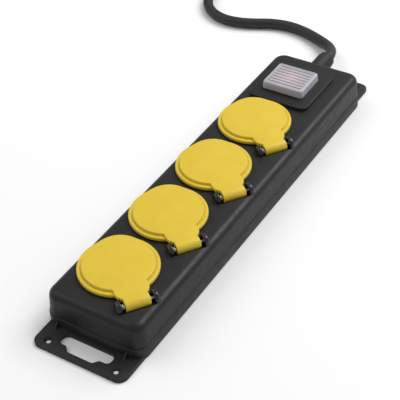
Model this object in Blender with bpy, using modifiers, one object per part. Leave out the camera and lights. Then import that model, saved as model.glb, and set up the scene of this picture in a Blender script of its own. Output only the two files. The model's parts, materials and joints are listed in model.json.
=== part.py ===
"""Four-way outdoor power strip with hinged socket lids, a booted rocker switch and a mains lead.

The frame's origin is the middle of the footprint on the floor.  +Y runs along the strip towards the
mains lead, +Z is up.  All lengths are in metres; MM turns millimetres into metres.
"""

import math

import bmesh
import bpy
from mathutils import Matrix, Vector

MM = 0.001
GAP = 0.3 * MM

# Casing, centred on the origin
CENTRE = (0.0, 0.0)
BASE_HALF = (45.0 * MM, 188.8 * MM)
BASE_TOP = 11.3 * MM
BASE_FLOOR = 1.8 * MM
BASE_CORNER = 12.0 * MM
BASE_SKIN = 2.0 * MM
LEDGE_WIDTH = 2.4 * MM
LEDGE_TOP = 9.0 * MM
BASE_CHAMFER = 1.0 * MM
COVER_HALF = (44.3 * MM, 188.0 * MM)
COVER_TOP = 32.5 * MM
COVER_DRAFT = 1.3 * MM
COVER_CORNER = 11.0 * MM
COVER_EDGE = 6.0 * MM
COVER_WALL = 2.4 * MM
CORNER_STEPS = 4
EDGE_STEPS = 3

# End tabs, with a hand slot and two screw holes each; -1 is the near end, 1 the lead's end
TAB_REACH = 212.3 * MM
TAB_CENTRE_X = {-1: 1.5 * MM, 1: -1.0 * MM}
TAB_ROOT = 22.0 * MM
TAB_HALF_WIDTH = 42.4 * MM
TAB_THICK = 3.0 * MM
TAB_CORNER = 8.0 * MM
SLOT_HALF = 23.6 * MM
SLOT_NEAR, SLOT_FAR = 9.8 * MM, 20.3 * MM
SLOT_DEEP_HALF = 13.0 * MM
SLOT_DEEP = 5.2 * MM
SLOT_SLOPE = 2.5 * MM
TAB_HOLE_X = 31.2 * MM
TAB_HOLE_INSET = 8.2 * MM
TAB_HOLE_R = 2.2 * MM
TAB_SINK_R = 4.0 * MM
TAB_SINK_DEEP = 1.7 * MM
GUSSET_X = 32.0 * MM
GUSSET_SIZE = 5.0 * MM

# Sockets
SOCKETS = 4
SOCKET_X = -6.8 * MM
FIRST_SOCKET_Y = -138.3 * MM
SOCKET_PITCH = 70.67 * MM
HINGE_TURN = math.radians(-36.0)
COLLAR_R = 29.3 * MM
COLLAR_TOP = 34.0 * MM
INSERT_R = 22.2 * MM
INSERT_FLANGE_R = 26.5 * MM
RECESS_R = 19.7 * MM
RECESS_FLOOR = 21.2 * MM
INSERT_BOTTOM = 17.5 * MM
PIN_OFFSET = 9.5 * MM
PIN_HOLE_R = 2.7 * MM

# Lids, in a socket's own frame: u towards the hinge, v along the hinge pin
LID_R = 32.5 * MM
LID_DISC_R = 28.8 * MM
LID_BOTTOM = 33.3 * MM
LID_FLANGE_TOP = 36.2 * MM
LID_TOP = 38.2 * MM
LID_UNDER = 34.7 * MM
LID_STEPS = 28
LIP_R = 20.0 * MM
LIP_CENTRE = 15.5 * MM
LIP_TURN = math.radians(162.0)
HINGE_U = 41.4 * MM
HINGE_Z = 33.4 * MM
KNUCKLE_R = 4.8 * MM
KNUCKLE_HALF = 9.9 * MM
EAR_INNER, EAR_OUTER = 12.8 * MM, 17.0 * MM
EAR_R = 5.6 * MM
PIN_R = 1.25 * MM
POCKET_FLOOR = 28.0 * MM
SEAL_R = (23.9 * MM, 26.9 * MM)
SEAL_Z = (34.3 * MM, 36.0 * MM)

# Switch
SWITCH_CENTRE = (-5.2 * MM, 138.6 * MM)
PLATFORM_CENTRE = (-4.0 * MM, 138.5 * MM)
PLATFORM_HALF = (29.6 * MM, 31.0 * MM)
PLATFORM_TOP = 35.5 * MM
PLATFORM_CORNER = 7.0 * MM
SWITCH_HALF = (14.8 * MM, 11.8 * MM)
SWITCH_BOTTOM = 14.0 * MM
BEZEL_HALF = (16.6 * MM, 13.4 * MM)
BEZEL_TOP = 37.2 * MM
ROCKER_HALF_X = 13.2 * MM
ROCKER_REACH = 9.4 * MM
ROCKER_PIVOT_Z = 34.0 * MM
ROCKER_REST = math.radians(5.0)
BOOT_HALF = (20.6 * MM, 17.8 * MM)
BOOT_TOP = 42.8 * MM
BOOT_WALL = 1.5 * MM
BOOT_CORNER = 3.0 * MM

# Contacts
STRIP_THICK = 0.8 * MM
BAR_Z = 4.6 * MM
BAR_HALF = 4.2 * MM
BAR_HOLE_HALF = 2.7 * MM
LEAF_INNER, LEAF_OUTER = 2.45 * MM, 3.25 * MM
FORK_TOP = 16.6 * MM
EARTH_BAR_Z = 15.3 * MM

# Casing screws, driven from below into bosses of the cover
SCREW_SPOTS = [
    (-36.0 * MM, -177.0 * MM),
    (36.0 * MM, -177.0 * MM),
    (-36.0 * MM, -32.5 * MM),
    (36.0 * MM, 13.5 * MM),
    (-36.0 * MM, 177.0 * MM),
    (36.0 * MM, 177.0 * MM),
]
BOSS_R = 3.4 * MM
SEAT_R = 4.6 * MM
SEAT_TOP = 4.0 * MM
SINK_R = 4.0 * MM
SCREW_R = 1.5 * MM

# Mains lead
CORD_R = 5.25 * MM
CORD_X = SOCKET_X
CORD_Z = 16.5 * MM
GLAND_R = 8.4 * MM
GLAND_END = 218.7 * MM
GLAND_WALL = (184.1 * MM, 189.2 * MM)
GLAND_INNER_END = 181.3 * MM
SHEATH_END = 155.5 * MM
CLAMP_Y = (164.5 * MM, 172.5 * MM)
CORE_R = 1.6 * MM
CORD_ROUTE = (
    (-6.8, 219.5, 16.5),
    (-6.95, 222.5, 16.4),
    (-8.6, 229.0, 15.2),
    (-12.8, 238.3, 12.4),
    (-20.0, 247.1, 9.6),
    (-30.0, 254.7, 7.3),
    (-42.5, 261.3, 6.0),
    (-58.0, 266.8, 5.4),
    (-76.0, 268.9, 5.4),
    (-94.5, 265.3, 5.4),
    (-111.0, 257.7, 5.4),
    (-127.0, 252.1, 5.4),
    (-144.0, 250.9, 5.4),
    (-160.5, 256.5, 5.4),
    (-173.5, 268.0, 5.4),
    (-181.8, 284.5, 5.4),
    (-184.4, 304.5, 5.4),
    (-182.0, 326.2, 5.4),
)
COIL_CENTRE = (-255.5 * MM, 335.2 * MM)
COIL_TURN_R = 57.5 * MM
TIE_HALF = 6.0 * MM
PLUG_ROUTE = (
    (-182.5, 326.8, 16.8),
    (-171.0, 338.3, 17.4),
    (-158.0, 351.3, 18.7),
    (-150.6, 358.7, 18.7),
)
PLUG_REAR = (-150.3 * MM, 359.0 * MM)
PLUG_TURN = math.radians(45.0)
PLUG_R = 18.5 * MM
PLUG_LENGTH = 84.0 * MM

COLOURS = {
    "black_shell": ((0.022, 0.022, 0.023, 1.0), 0.5, 0.0),
    "black_base": ((0.035, 0.034, 0.037, 1.0), 0.6, 0.0),
    "yellow_lid": ((0.78, 0.56, 0.045, 1.0), 0.45, 0.0),
    "black_insert": ((0.02, 0.02, 0.021, 1.0), 0.45, 0.0),
    "black_rubber": ((0.018, 0.018, 0.018, 1.0), 0.75, 0.0),
    "steel": ((0.62, 0.62, 0.64, 1.0), 0.3, 1.0),
    "brass": ((0.78, 0.57, 0.25, 1.0), 0.35, 1.0),
    "switch_black": ((0.02, 0.02, 0.02, 1.0), 0.4, 0.0),
    "rocker_red": ((0.62, 0.05, 0.04, 1.0), 0.3, 0.0),
    "boot_silicone": ((0.62, 0.6, 0.66, 1.0), 0.4, 0.0),
    "lamp_glass": ((0.9, 0.4, 0.25, 1.0), 0.1, 0.0),
    "core_brown": ((0.2, 0.08, 0.03, 1.0), 0.5, 0.0),
    "core_blue": ((0.03, 0.12, 0.5, 1.0), 0.5, 0.0),
    "core_green_yellow": ((0.35, 0.55, 0.05, 1.0), 0.5, 0.0),
    "cord_black": ((0.02, 0.02, 0.021, 1.0), 0.6, 0.0),
}


# ---------------------------------------------------------------- helpers

def clear_scene():
    for old in list(bpy.data.objects):
        bpy.data.objects.remove(old, do_unlink=True)


def new_collection(name):
    collection = bpy.data.collections.new(name)
    bpy.context.scene.collection.children.link(collection)
    return collection


def material(slot):
    if slot in bpy.data.materials:
        return bpy.data.materials[slot]
    colour, roughness, metallic = COLOURS[slot]
    made = bpy.data.materials.new(slot)
    made.use_nodes = True
    shader = made.node_tree.nodes["Principled BSDF"]
    shader.inputs["Base Color"].default_value = colour
    shader.inputs["Roughness"].default_value = roughness
    shader.inputs["Metallic"].default_value = metallic
    made.diffuse_color = colour
    return made


def add_object(name, mesh):
    made = bpy.data.objects.new(name, mesh)
    PARTS.objects.link(made)
    return made


def evaluated_mesh(source):
    """The source's mesh after its modifiers or its curve bevel, with its caps welded."""
    bpy.context.view_layer.update()
    graph = bpy.context.evaluated_depsgraph_get()
    mesh = bpy.data.meshes.new_from_object(source.evaluated_get(graph))
    bm = bmesh.new()
    bm.from_mesh(mesh)
    bmesh.ops.remove_doubles(bm, verts=bm.verts, dist=0.001 * MM)
    bm.to_mesh(mesh)
    bm.free()
    return mesh


def bake(source):
    """Applies the object's modifiers, and leaves it in place."""
    mesh = evaluated_mesh(source)
    source.modifiers.clear()
    source.data = mesh
    return source


def boolean(target, tools, operation):
    """Cuts or joins a list of tools into the target, and removes them."""
    for tool in tools:
        modifier = target.modifiers.new("Join", "BOOLEAN")
        modifier.object = tool
        modifier.operation = operation
        modifier.solver = "EXACT"
        bake(target)
        bpy.data.objects.remove(tool, do_unlink=True)
    return target


def cut(target, *tools):
    return boolean(target, tools, "DIFFERENCE")


def join(target, *tools):
    return boolean(target, tools, "UNION")


def settle(source, matrix):
    """Moves the mesh itself, so that its object can stay at the origin."""
    source.data.transform(matrix)
    return source


def box(name, low, high):
    mesh = bpy.data.meshes.new(name)
    bm = bmesh.new()
    bmesh.ops.create_cube(bm, size=1.0)
    size = Vector(high) - Vector(low)
    middle = (Vector(high) + Vector(low)) / 2
    place = Matrix.Translation(middle) @ Matrix.Diagonal((*size, 1.0))
    bmesh.ops.transform(bm, matrix=place, verts=bm.verts)
    bm.to_mesh(mesh)
    bm.free()
    return add_object(name, mesh)


def cylinder(name, radius, start, end, sides=24, radius_end=None):
    """A cylinder or cone between two points."""
    start, end = Vector(start), Vector(end)
    axis = end - start
    mesh = bpy.data.meshes.new(name)
    bm = bmesh.new()
    bmesh.ops.create_cone(
        bm,
        cap_ends=True,
        segments=sides,
        radius1=radius,
        radius2=radius if radius_end is None else radius_end,
        depth=axis.length,
    )
    turn = Vector((0.0, 0.0, 1.0)).rotation_difference(axis).to_matrix().to_4x4()
    bmesh.ops.transform(bm, matrix=Matrix.Translation((start + end) / 2) @ turn, verts=bm.verts)
    bm.to_mesh(mesh)
    bm.free()
    return add_object(name, mesh)


def turned(name, profile, steps):
    """A profile of (radius, height) turned about Z with a Screw modifier."""
    mesh = bpy.data.meshes.new(name)
    mesh.from_pydata([(r, 0.0, z) for r, z in profile], [(i, i + 1) for i in range(len(profile) - 1)], [])
    made = add_object(name, mesh)
    screw = made.modifiers.new("Turn", "SCREW")
    screw.steps = steps
    screw.render_steps = steps
    screw.use_merge_vertices = True
    screw.merge_threshold = 0.01 * MM
    screw.use_smooth_shade = False
    return bake(made)


def arc(centre, radius, start, end, steps):
    points = []
    for step in range(steps + 1):
        angle = start + (end - start) * step / steps
        points.append((centre[0] + radius * math.cos(angle), centre[1] + radius * math.sin(angle)))
    return points


def rounded_rectangle(centre, half, radius, steps=CORNER_STEPS):
    points = []
    for quarter, (sx, sy) in enumerate(((1, 1), (-1, 1), (-1, -1), (1, -1))):
        middle = (centre[0] + sx * (half[0] - radius), centre[1] + sy * (half[1] - radius))
        points += arc(middle, radius, quarter * math.pi / 2, (quarter + 1) * math.pi / 2, steps)
    return points


def prism(name, outline, bottom, top):
    """A flat outline as a filled 2D curve, extruded and made a mesh."""
    curve = bpy.data.curves.new(name, "CURVE")
    curve.dimensions = "2D"
    curve.fill_mode = "BOTH"
    curve.extrude = (top - bottom) / 2
    spline = curve.splines.new("POLY")
    spline.points.add(len(outline) - 1)
    for point, (x, y) in zip(spline.points, outline):
        point.co = (x, y, 0.0, 1.0)
    spline.use_cyclic_u = True
    holder = add_object(name + "_outline", curve)
    mesh = evaluated_mesh(holder)
    bpy.data.objects.remove(holder, do_unlink=True)
    mesh.transform(Matrix.Translation((0.0, 0.0, (bottom + top) / 2)))
    return add_object(name, mesh)


def top_edges(bm, height):
    return [e for e in bm.edges if all(abs(v.co.z - height) < 0.01 * MM for v in e.verts) and not flat(e)]


def flat(edge):
    return len(edge.link_faces) == 2 and edge.calc_face_angle(0.0) < math.radians(20.0)


def round_top(made, height, radius, steps=EDGE_STEPS):
    """Rounds the rim of a prism at one height."""
    bm = bmesh.new()
    bm.from_mesh(made.data)
    bmesh.ops.dissolve_limit(bm, angle_limit=math.radians(1.0), verts=bm.verts, edges=bm.edges)
    bmesh.ops.bevel(
        bm, geom=top_edges(bm, height), offset=radius, segments=steps, profile=0.5, affect="EDGES"
    )
    bm.to_mesh(made.data)
    bm.free()
    return made


def taper(made, height, centre, half, inset):
    """Draws the rim at one height in by the inset on every side."""
    for vertex in made.data.vertices:
        if abs(vertex.co.z - height) < 0.01 * MM:
            for axis in (0, 1):
                shrink = (half[axis] - inset) / half[axis]
                vertex.co[axis] = centre[axis] + (vertex.co[axis] - centre[axis]) * shrink
    return made


def smooth_route(route, samples):
    """A Catmull-Rom curve through the route's points, given in millimetres."""
    knots = [Vector(point) * MM for point in route]
    knots = [knots[0] * 2 - knots[1]] + knots + [knots[-1] * 2 - knots[-2]]
    points = []
    for index in range(1, len(knots) - 2):
        a, b, c, d = knots[index - 1:index + 3]
        for sample in range(samples):
            t = sample / samples
            bend = (2 * a - 5 * b + 4 * c - d) * t ** 2 + (3 * b - a - 3 * c + d) * t ** 3
            points.append(0.5 * (2 * b + (c - a) * t + bend))
    points.append(knots[-2])
    return points


def tube(name, points, radius, resolution=2):
    """A round tube along points, with filled caps."""
    curve = bpy.data.curves.new(name, "CURVE")
    curve.dimensions = "3D"
    curve.bevel_depth = radius
    curve.bevel_resolution = resolution
    curve.use_fill_caps = True
    spline = curve.splines.new("POLY")
    spline.points.add(len(points) - 1)
    for point, place in zip(spline.points, points):
        point.co = (*place, 1.0)
    holder = add_object(name + "_path", curve)
    mesh = evaluated_mesh(holder)
    bpy.data.objects.remove(holder, do_unlink=True)
    return add_object(name, mesh)


def merge_flat_faces(made):
    bm = bmesh.new()
    bm.from_mesh(made.data)
    bmesh.ops.dissolve_limit(bm, angle_limit=math.radians(0.2), verts=bm.verts, edges=bm.edges)
    bm.to_mesh(made.data)
    bm.free()


def finish(made, slot, smooth_angle=40.0):
    """Gives the finished piece its material and shading."""
    merge_flat_faces(made)
    made.data.materials.clear()
    made.data.materials.append(material(slot))
    made.data.shade_smooth()
    made.data.set_sharp_from_angle(angle=math.radians(smooth_angle))
    return made


def socket_frame(index):
    """From a socket's own u, v and height to the world."""
    place = (SOCKET_X, FIRST_SOCKET_Y + index * SOCKET_PITCH, 0.0)
    return Matrix.Translation(place) @ Matrix.Rotation(HINGE_TURN, 4, "Z")


def hinged_copy(name, mesh, index, slot):
    """One copy of a mesh made in the socket's own frame, with its origin on the hinge axis."""
    made = add_object(name, mesh.copy())
    pivot = Matrix.Translation((HINGE_U, 0.0, HINGE_Z))
    made.data.transform(pivot.inverted())
    made.matrix_world = socket_frame(index) @ pivot
    return finish(made, slot)


def socket_copy(name, mesh, index, slot):
    made = add_object(name, mesh.copy())
    made.matrix_world = socket_frame(index)
    return finish(made, slot)


def take_mesh(made):
    mesh = made.data
    bpy.data.objects.remove(made, do_unlink=True)
    return mesh


# ---------------------------------------------------------------- casing

def shell_block(name, half, bottom, top, draft, corner, edge):
    made = prism(name, rounded_rectangle(CENTRE, half, corner), bottom, top)
    taper(made, top, CENTRE, half, draft)
    return round_top(made, top, edge)


def tab(side):
    """One end tab, whose root runs a little way under the casing."""
    inner = side * (BASE_HALF[1] - TAB_ROOT)
    outer = side * TAB_REACH
    middle = (TAB_CENTRE_X[side], (inner + outer) / 2)
    half = (TAB_HALF_WIDTH, abs(outer - inner) / 2)
    plate = prism("tab", rounded_rectangle(middle, half, TAB_CORNER), 0.0, TAB_THICK)
    return round_top(plate, TAB_THICK, 0.6 * MM, 1)


def hand_slot(side):
    """The long narrow slot and its deeper middle, which has sloped ends."""
    x, bottom, top = TAB_CENTRE_X[side], -2.0 * MM, 6.0 * MM
    middle_y = side * (TAB_REACH - (SLOT_NEAR + SLOT_FAR) / 2)
    narrow_half = (SLOT_FAR - SLOT_NEAR) / 2
    narrow = rounded_rectangle((x, middle_y), (SLOT_HALF, narrow_half), narrow_half - 0.2 * MM)
    near = side * (TAB_REACH - SLOT_DEEP)
    knee = near - side * SLOT_SLOPE
    far = side * (TAB_REACH - SLOT_FAR + 1.0 * MM)
    half_outline = [
        (SLOT_DEEP_HALF + SLOT_SLOPE, far),
        (SLOT_DEEP_HALF, knee),
        (SLOT_DEEP_HALF - SLOT_SLOPE, near),
    ]
    deep = [(x - across, y) for across, y in half_outline]
    deep += [(x + across, y) for across, y in reversed(half_outline)]
    return join(prism("slot", narrow, bottom, top), prism("slot_deep", deep, bottom, top))


def tab_screw_hole(side, offset):
    """A countersunk screw hole in a tab."""
    x, y = TAB_CENTRE_X[side] + offset, side * (TAB_REACH - TAB_HOLE_INSET)
    hole = cylinder("hole", TAB_HOLE_R, (x, y, -1.0 * MM), (x, y, 5.0 * MM), 16)
    sink_start, sink_end = (x, y, TAB_THICK - TAB_SINK_DEEP), (x, y, TAB_THICK + GAP)
    return hole, cylinder("sink", TAB_HOLE_R, sink_start, sink_end, 16, TAB_SINK_R)


def gusset(side, x):
    """A small web between the end wall and the tab."""
    wall = side * (BASE_HALF[1] - 1.0 * MM)
    tip = wall + side * (GUSSET_SIZE + 1.0 * MM)
    outline = [(wall, TAB_THICK - 0.5 * MM), (tip, TAB_THICK - 0.5 * MM), (wall, TAB_THICK + GUSSET_SIZE)]
    made = prism("gusset", outline, -0.8 * MM, 0.8 * MM)
    stand = Matrix(((0, 0, 1, x), (1, 0, 0, 0), (0, 1, 0, 0), (0, 0, 0, 1)))
    return settle(made, stand)


def gland_hole():
    return cylinder(
        "gland_hole", 7.0 * MM, (CORD_X, 179.5 * MM, CORD_Z), (CORD_X, 195.5 * MM, CORD_Z), 24
    )


def build_base():
    base = prism("base_tray", rounded_rectangle(CENTRE, BASE_HALF, BASE_CORNER), 0.0, BASE_TOP)
    round_top(base, 0.0, BASE_CHAMFER, 1)
    round_top(base, BASE_TOP, 0.6 * MM, 1)
    upper = [h - BASE_SKIN for h in BASE_HALF]
    lower = [h - LEDGE_WIDTH for h in upper]
    upper_outline = rounded_rectangle(CENTRE, upper, BASE_CORNER - BASE_SKIN)
    lower_outline = rounded_rectangle(CENTRE, lower, BASE_CORNER - BASE_SKIN - LEDGE_WIDTH)
    cut(
        base,
        prism("rim", upper_outline, LEDGE_TOP, BASE_TOP + 5.0 * MM),
        prism("well", lower_outline, BASE_FLOOR, LEDGE_TOP + 1.0 * MM),
    )
    join(base, tab(-1), tab(1))
    for side in (-1, 1):
        join(base, gusset(side, -GUSSET_X), gusset(side, GUSSET_X))
        cut(base, hand_slot(side))
        for offset in (-TAB_HOLE_X, TAB_HOLE_X):
            cut(base, *tab_screw_hole(side, offset))
    for x, y in SCREW_SPOTS:
        join(base, cylinder("seat", SEAT_R, (x, y, 0.5 * MM), (x, y, SEAT_TOP), 12))
    for y in [FIRST_SOCKET_Y + index * SOCKET_PITCH for index in range(SOCKETS)]:
        low = (SOCKET_X - 10.0 * MM, y - 0.9 * MM, 0.8 * MM)
        high = (SOCKET_X + 10.0 * MM, y + 0.9 * MM, BAR_Z - GAP)
        join(base, box("rib", low, high))
    saddle_low = (CORD_X - 12.0 * MM, CLAMP_Y[0] - 0.5 * MM, 0.8 * MM)
    saddle_high = (CORD_X + 12.0 * MM, CLAMP_Y[1] + 0.5 * MM, CORD_Z - CORD_R - GAP)
    join(base, box("saddle", saddle_low, saddle_high))
    for x, y in SCREW_SPOTS:
        cut(
            base,
            cylinder("bore", 2.0 * MM, (x, y, -1.0 * MM), (x, y, 5.0 * MM), 12),
            cylinder("sink", SINK_R, (x, y, -0.1 * MM), (x, y, 2.4 * MM), 12, 2.0 * MM),
        )
    for x in clamp_screw_xs():
        y = sum(CLAMP_Y) / 2
        cut(base, cylinder("pilot", 1.75 * MM, (x, y, 5.0 * MM), (x, y, 14.0 * MM), 12))
    cut(base, gland_hole())
    return finish(base, "black_base")


def clamp_screw_xs():
    return (CORD_X - 8.8 * MM, CORD_X + 8.8 * MM)


def build_casing_seal():
    outer = [h - BASE_SKIN - GAP for h in BASE_HALF]
    inner = [h - 1.8 * MM for h in outer]
    outer_r = BASE_CORNER - BASE_SKIN - GAP
    low, high = LEDGE_TOP + GAP, BASE_TOP + 0.6 * MM
    seal = prism("casing_seal", rounded_rectangle(CENTRE, outer, outer_r), low, high)
    hole = rounded_rectangle(CENTRE, inner, outer_r - 1.8 * MM)
    cut(seal, prism("hole", hole, low - 1.0 * MM, high + 1.0 * MM), gland_hole())
    return finish(seal, "black_rubber")


def ear(side):
    """One round hinge ear with a foot that runs down into the cover."""
    low, high = sorted((side * EAR_INNER, side * EAR_OUTER))
    disc = cylinder("ear", EAR_R, (HINGE_U, low, HINGE_Z), (HINGE_U, high, HINGE_Z), 16)
    bevel = disc.modifiers.new("Round", "BEVEL")
    bevel.width = 0.8 * MM
    bevel.segments = 2
    bevel.limit_method = "ANGLE"
    bevel.angle_limit = math.radians(50.0)
    bake(disc)
    foot = box(
        "foot",
        (HINGE_U - EAR_R + 0.6 * MM, low + 0.2 * MM, POCKET_FLOOR - 1.0 * MM),
        (HINGE_U + EAR_R - 0.6 * MM, high - 0.2 * MM, HINGE_Z),
    )
    return join(disc, foot)


def pocket_block():
    return box(
        "pocket_block",
        (HINGE_U - 8.0 * MM, -EAR_OUTER, POCKET_FLOOR - 2.0 * MM),
        (HINGE_U + 8.3 * MM, EAR_OUTER, COVER_TOP + 2.0 * MM),
    )


def pocket():
    return box(
        "pocket",
        (HINGE_U - 5.9 * MM, -EAR_INNER, POCKET_FLOOR),
        (HINGE_U + 6.2 * MM, EAR_INNER, COVER_TOP + 8.0 * MM),
    )


def in_socket(made, index):
    return settle(made, socket_frame(index))


def build_cover():
    bottom = BASE_TOP + GAP
    cover = shell_block(
        "top_cover", COVER_HALF, bottom, COVER_TOP, COVER_DRAFT, COVER_CORNER, COVER_EDGE
    )
    hollow_half = [h - COVER_WALL for h in COVER_HALF]
    hollow = shell_block(
        "hollow",
        hollow_half,
        bottom - 2.0 * MM,
        COVER_TOP - COVER_WALL,
        COVER_DRAFT,
        COVER_CORNER - COVER_WALL,
        COVER_EDGE - COVER_WALL,
    )
    for index in range(SOCKETS):
        cut(hollow, in_socket(pocket_block(), index))
    for x, y in SCREW_SPOTS:
        cut(hollow, cylinder("boss", BOSS_R, (x, y, 5.0 * MM), (x, y, 40.0 * MM), 12))
    platform_outline = rounded_rectangle(PLATFORM_CENTRE, PLATFORM_HALF, PLATFORM_CORNER)
    platform = prism("platform", platform_outline, COVER_TOP - 1.5 * MM, PLATFORM_TOP)
    join(cover, round_top(platform, PLATFORM_TOP, 0.8 * MM, 2))
    for index in range(SOCKETS):
        collar = cylinder("collar", COLLAR_R, (0, 0, COVER_TOP - 1.5 * MM), (0, 0, COLLAR_TOP), LID_STEPS)
        join(cover, in_socket(collar, index), in_socket(ear(-1), index), in_socket(ear(1), index))
    cut(cover, hollow)
    for index in range(SOCKETS):
        mouth = cylinder("mouth", INSERT_R + 0.5 * MM, (0, 0, 20.0 * MM), (0, 0, 40.0 * MM), LID_STEPS)
        bore_end = EAR_OUTER - 1.2 * MM
        bore = cylinder("bore", PIN_R + GAP, (HINGE_U, -bore_end, HINGE_Z), (HINGE_U, bore_end, HINGE_Z), 8)
        cut(cover, in_socket(mouth, index), in_socket(pocket(), index), in_socket(bore, index))
    step_half = [h - BASE_SKIN - 0.1 * MM for h in BASE_HALF]
    step = prism(
        "step",
        rounded_rectangle(CENTRE, step_half, BASE_CORNER - BASE_SKIN - 0.1 * MM),
        bottom - 1.0 * MM,
        bottom + 0.6 * MM,
    )
    for x, y in SCREW_SPOTS:
        cut(step, cylinder("keep", BOSS_R + 1.0 * MM, (x, y, 0.0), (x, y, 20.0 * MM), 12))
        join(
            cover,
            cylinder("boss", BOSS_R, (x, y, SEAT_TOP + GAP), (x, y, 14.0 * MM), 12),
        )
    cut(cover, step, gland_hole())
    for x, y in SCREW_SPOTS:
        cut(cover, cylinder("pilot", SCREW_R + GAP, (x, y, 0.0), (x, y, 18.0 * MM), 8))
    hole_half = [h + GAP for h in SWITCH_HALF]
    low = (SWITCH_CENTRE[0] - hole_half[0], SWITCH_CENTRE[1] - hole_half[1], 20.0 * MM)
    high = (SWITCH_CENTRE[0] + hole_half[0], SWITCH_CENTRE[1] + hole_half[1], 50.0 * MM)
    cut(cover, box("switch_hole", low, high))
    return finish(cover, "black_shell")


def build_casing_screws():
    for number, (x, y) in enumerate(SCREW_SPOTS, start=1):
        profile = [
            (0.0, 16.0 * MM),
            (SCREW_R * 0.6, 16.0 * MM),
            (SCREW_R, 14.0 * MM),
            (SCREW_R, 2.2 * MM),
            (3.3 * MM, 0.6 * MM),
            (3.3 * MM, 0.3 * MM),
            (0.0, 0.3 * MM),
        ]
        screw = turned(f"casing_screw_{number}", profile, 8)
        long, narrow, deep = 1.6 * MM, 0.35 * MM, 1.3 * MM
        cross = box("cross", (-long, -narrow, 0.0), (long, narrow, deep))
        cut(screw, join(cross, box("cross", (-narrow, -long, 0.0), (narrow, long, deep))))
        settle(screw, Matrix.Translation((x, y, 0.0)))
        finish(screw, "steel")


# ---------------------------------------------------------------- sockets and lids

def socket_insert_mesh():
    flange_top = COVER_TOP - COVER_WALL - GAP
    profile = [
        (0.0, RECESS_FLOOR),
        (RECESS_R, RECESS_FLOOR),
        (RECESS_R, COLLAR_TOP),
        (INSERT_R, COLLAR_TOP),
        (INSERT_R, flange_top),
        (INSERT_FLANGE_R, flange_top),
        (INSERT_FLANGE_R, flange_top - 2.2 * MM),
        (INSERT_R, flange_top - 2.2 * MM),
        (INSERT_R, INSERT_BOTTOM),
        (0.0, INSERT_BOTTOM),
    ]
    insert = turned("insert", profile, LID_STEPS)
    below, above = INSERT_BOTTOM - 5.0 * MM, RECESS_FLOOR + 5.0 * MM
    for side in (-1, 1):
        low_u, high_u = sorted((side * 17.4 * MM, side * 19.4 * MM))
        v = side * PIN_OFFSET
        cut(
            insert,
            cylinder("pin_hole", PIN_HOLE_R, (0, v, below), (0, v, above), 12),
            box("earth_slot", (low_u, -3.0 * MM, below), (high_u, 3.0 * MM, above)),
        )
    return take_mesh(insert)


def earth_clip_mesh():
    """A U of spring strip: a foot under the insert and an arm up each side of the recess."""
    half_width = 2.4 * MM
    outer, inner = 18.9 * MM, 18.1 * MM
    bottom, top = INSERT_BOTTOM - GAP - STRIP_THICK, 31.5 * MM
    clip = box("clip", (-outer, -half_width, bottom), (outer, half_width, bottom + STRIP_THICK))
    for side in (-1, 1):
        low, high = sorted((side * inner, side * outer))
        join(clip, box("arm", (low, -half_width, bottom), (high, half_width, top)))
        tip_low, tip_high = sorted((side * (inner - 0.9 * MM), side * outer))
        join(clip, box("bump", (tip_low, -half_width, 26.0 * MM), (tip_high, half_width, 28.5 * MM)))
    return take_mesh(clip)


def lid_mesh():
    groove = (SEAL_R[0] - GAP, SEAL_R[1] + GAP, SEAL_Z[1] + GAP)
    profile = [
        (0.0, LID_TOP),
        (LID_DISC_R - 1.2 * MM, LID_TOP),
        (LID_DISC_R, LID_TOP - 1.0 * MM),
        (LID_DISC_R, LID_FLANGE_TOP),
        (LID_R - 0.7 * MM, LID_FLANGE_TOP),
        (LID_R, LID_FLANGE_TOP - 0.7 * MM),
        (LID_R, LID_BOTTOM),
        (COLLAR_R + 1.0 * MM, LID_BOTTOM),
        (COLLAR_R + 1.0 * MM, LID_UNDER),
        (groove[1], LID_UNDER),
        (groove[1], groove[2]),
        (groove[0], groove[2]),
        (groove[0], LID_UNDER),
        (groove[0] - 1.6 * MM, LID_UNDER),
        (groove[0] - 1.6 * MM, LID_TOP - 2.0 * MM),
        (0.0, LID_TOP - 2.0 * MM),
    ]
    lid = turned("lid", profile, LID_STEPS)
    lip_x, lip_y = LIP_CENTRE * math.cos(LIP_TURN), LIP_CENTRE * math.sin(LIP_TURN)
    lip = cylinder("lip", LIP_R, (lip_x, lip_y, LID_BOTTOM), (lip_x, lip_y, LID_FLANGE_TOP), 32)
    cut(lip, cylinder("lip_cut", LID_R - 1.0 * MM, (0, 0, 0), (0, 0, 0.06), LID_STEPS))
    join(lid, lip)
    join(lid, prism("arm_top", arm_outline(18.0 * MM), LID_TOP - 1.8 * MM, LID_TOP))
    join(lid, prism("arm_web", arm_outline(groove[1] + 1.0 * MM), LID_TOP - 2.8 * MM, LID_TOP - 1.7 * MM))
    knuckle = cylinder(
        "knuckle", KNUCKLE_R, (HINGE_U, -KNUCKLE_HALF, HINGE_Z), (HINGE_U, KNUCKLE_HALF, HINGE_Z), 16
    )
    join(lid, knuckle)
    cheek = KNUCKLE_HALF - 2.0 * MM
    cut(
        lid,
        cylinder("curl", 3.2 * MM, (HINGE_U, -cheek, HINGE_Z), (HINGE_U, cheek, HINGE_Z), 12),
        box("mouth", (HINGE_U - 2.6 * MM, -cheek, 25.0 * MM), (HINGE_U + 2.4 * MM, cheek, HINGE_Z)),
        cylinder("bore", PIN_R + GAP, (HINGE_U, -20 * MM, HINGE_Z), (HINGE_U, 20 * MM, HINGE_Z), 8),
    )
    return take_mesh(lid)


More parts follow.
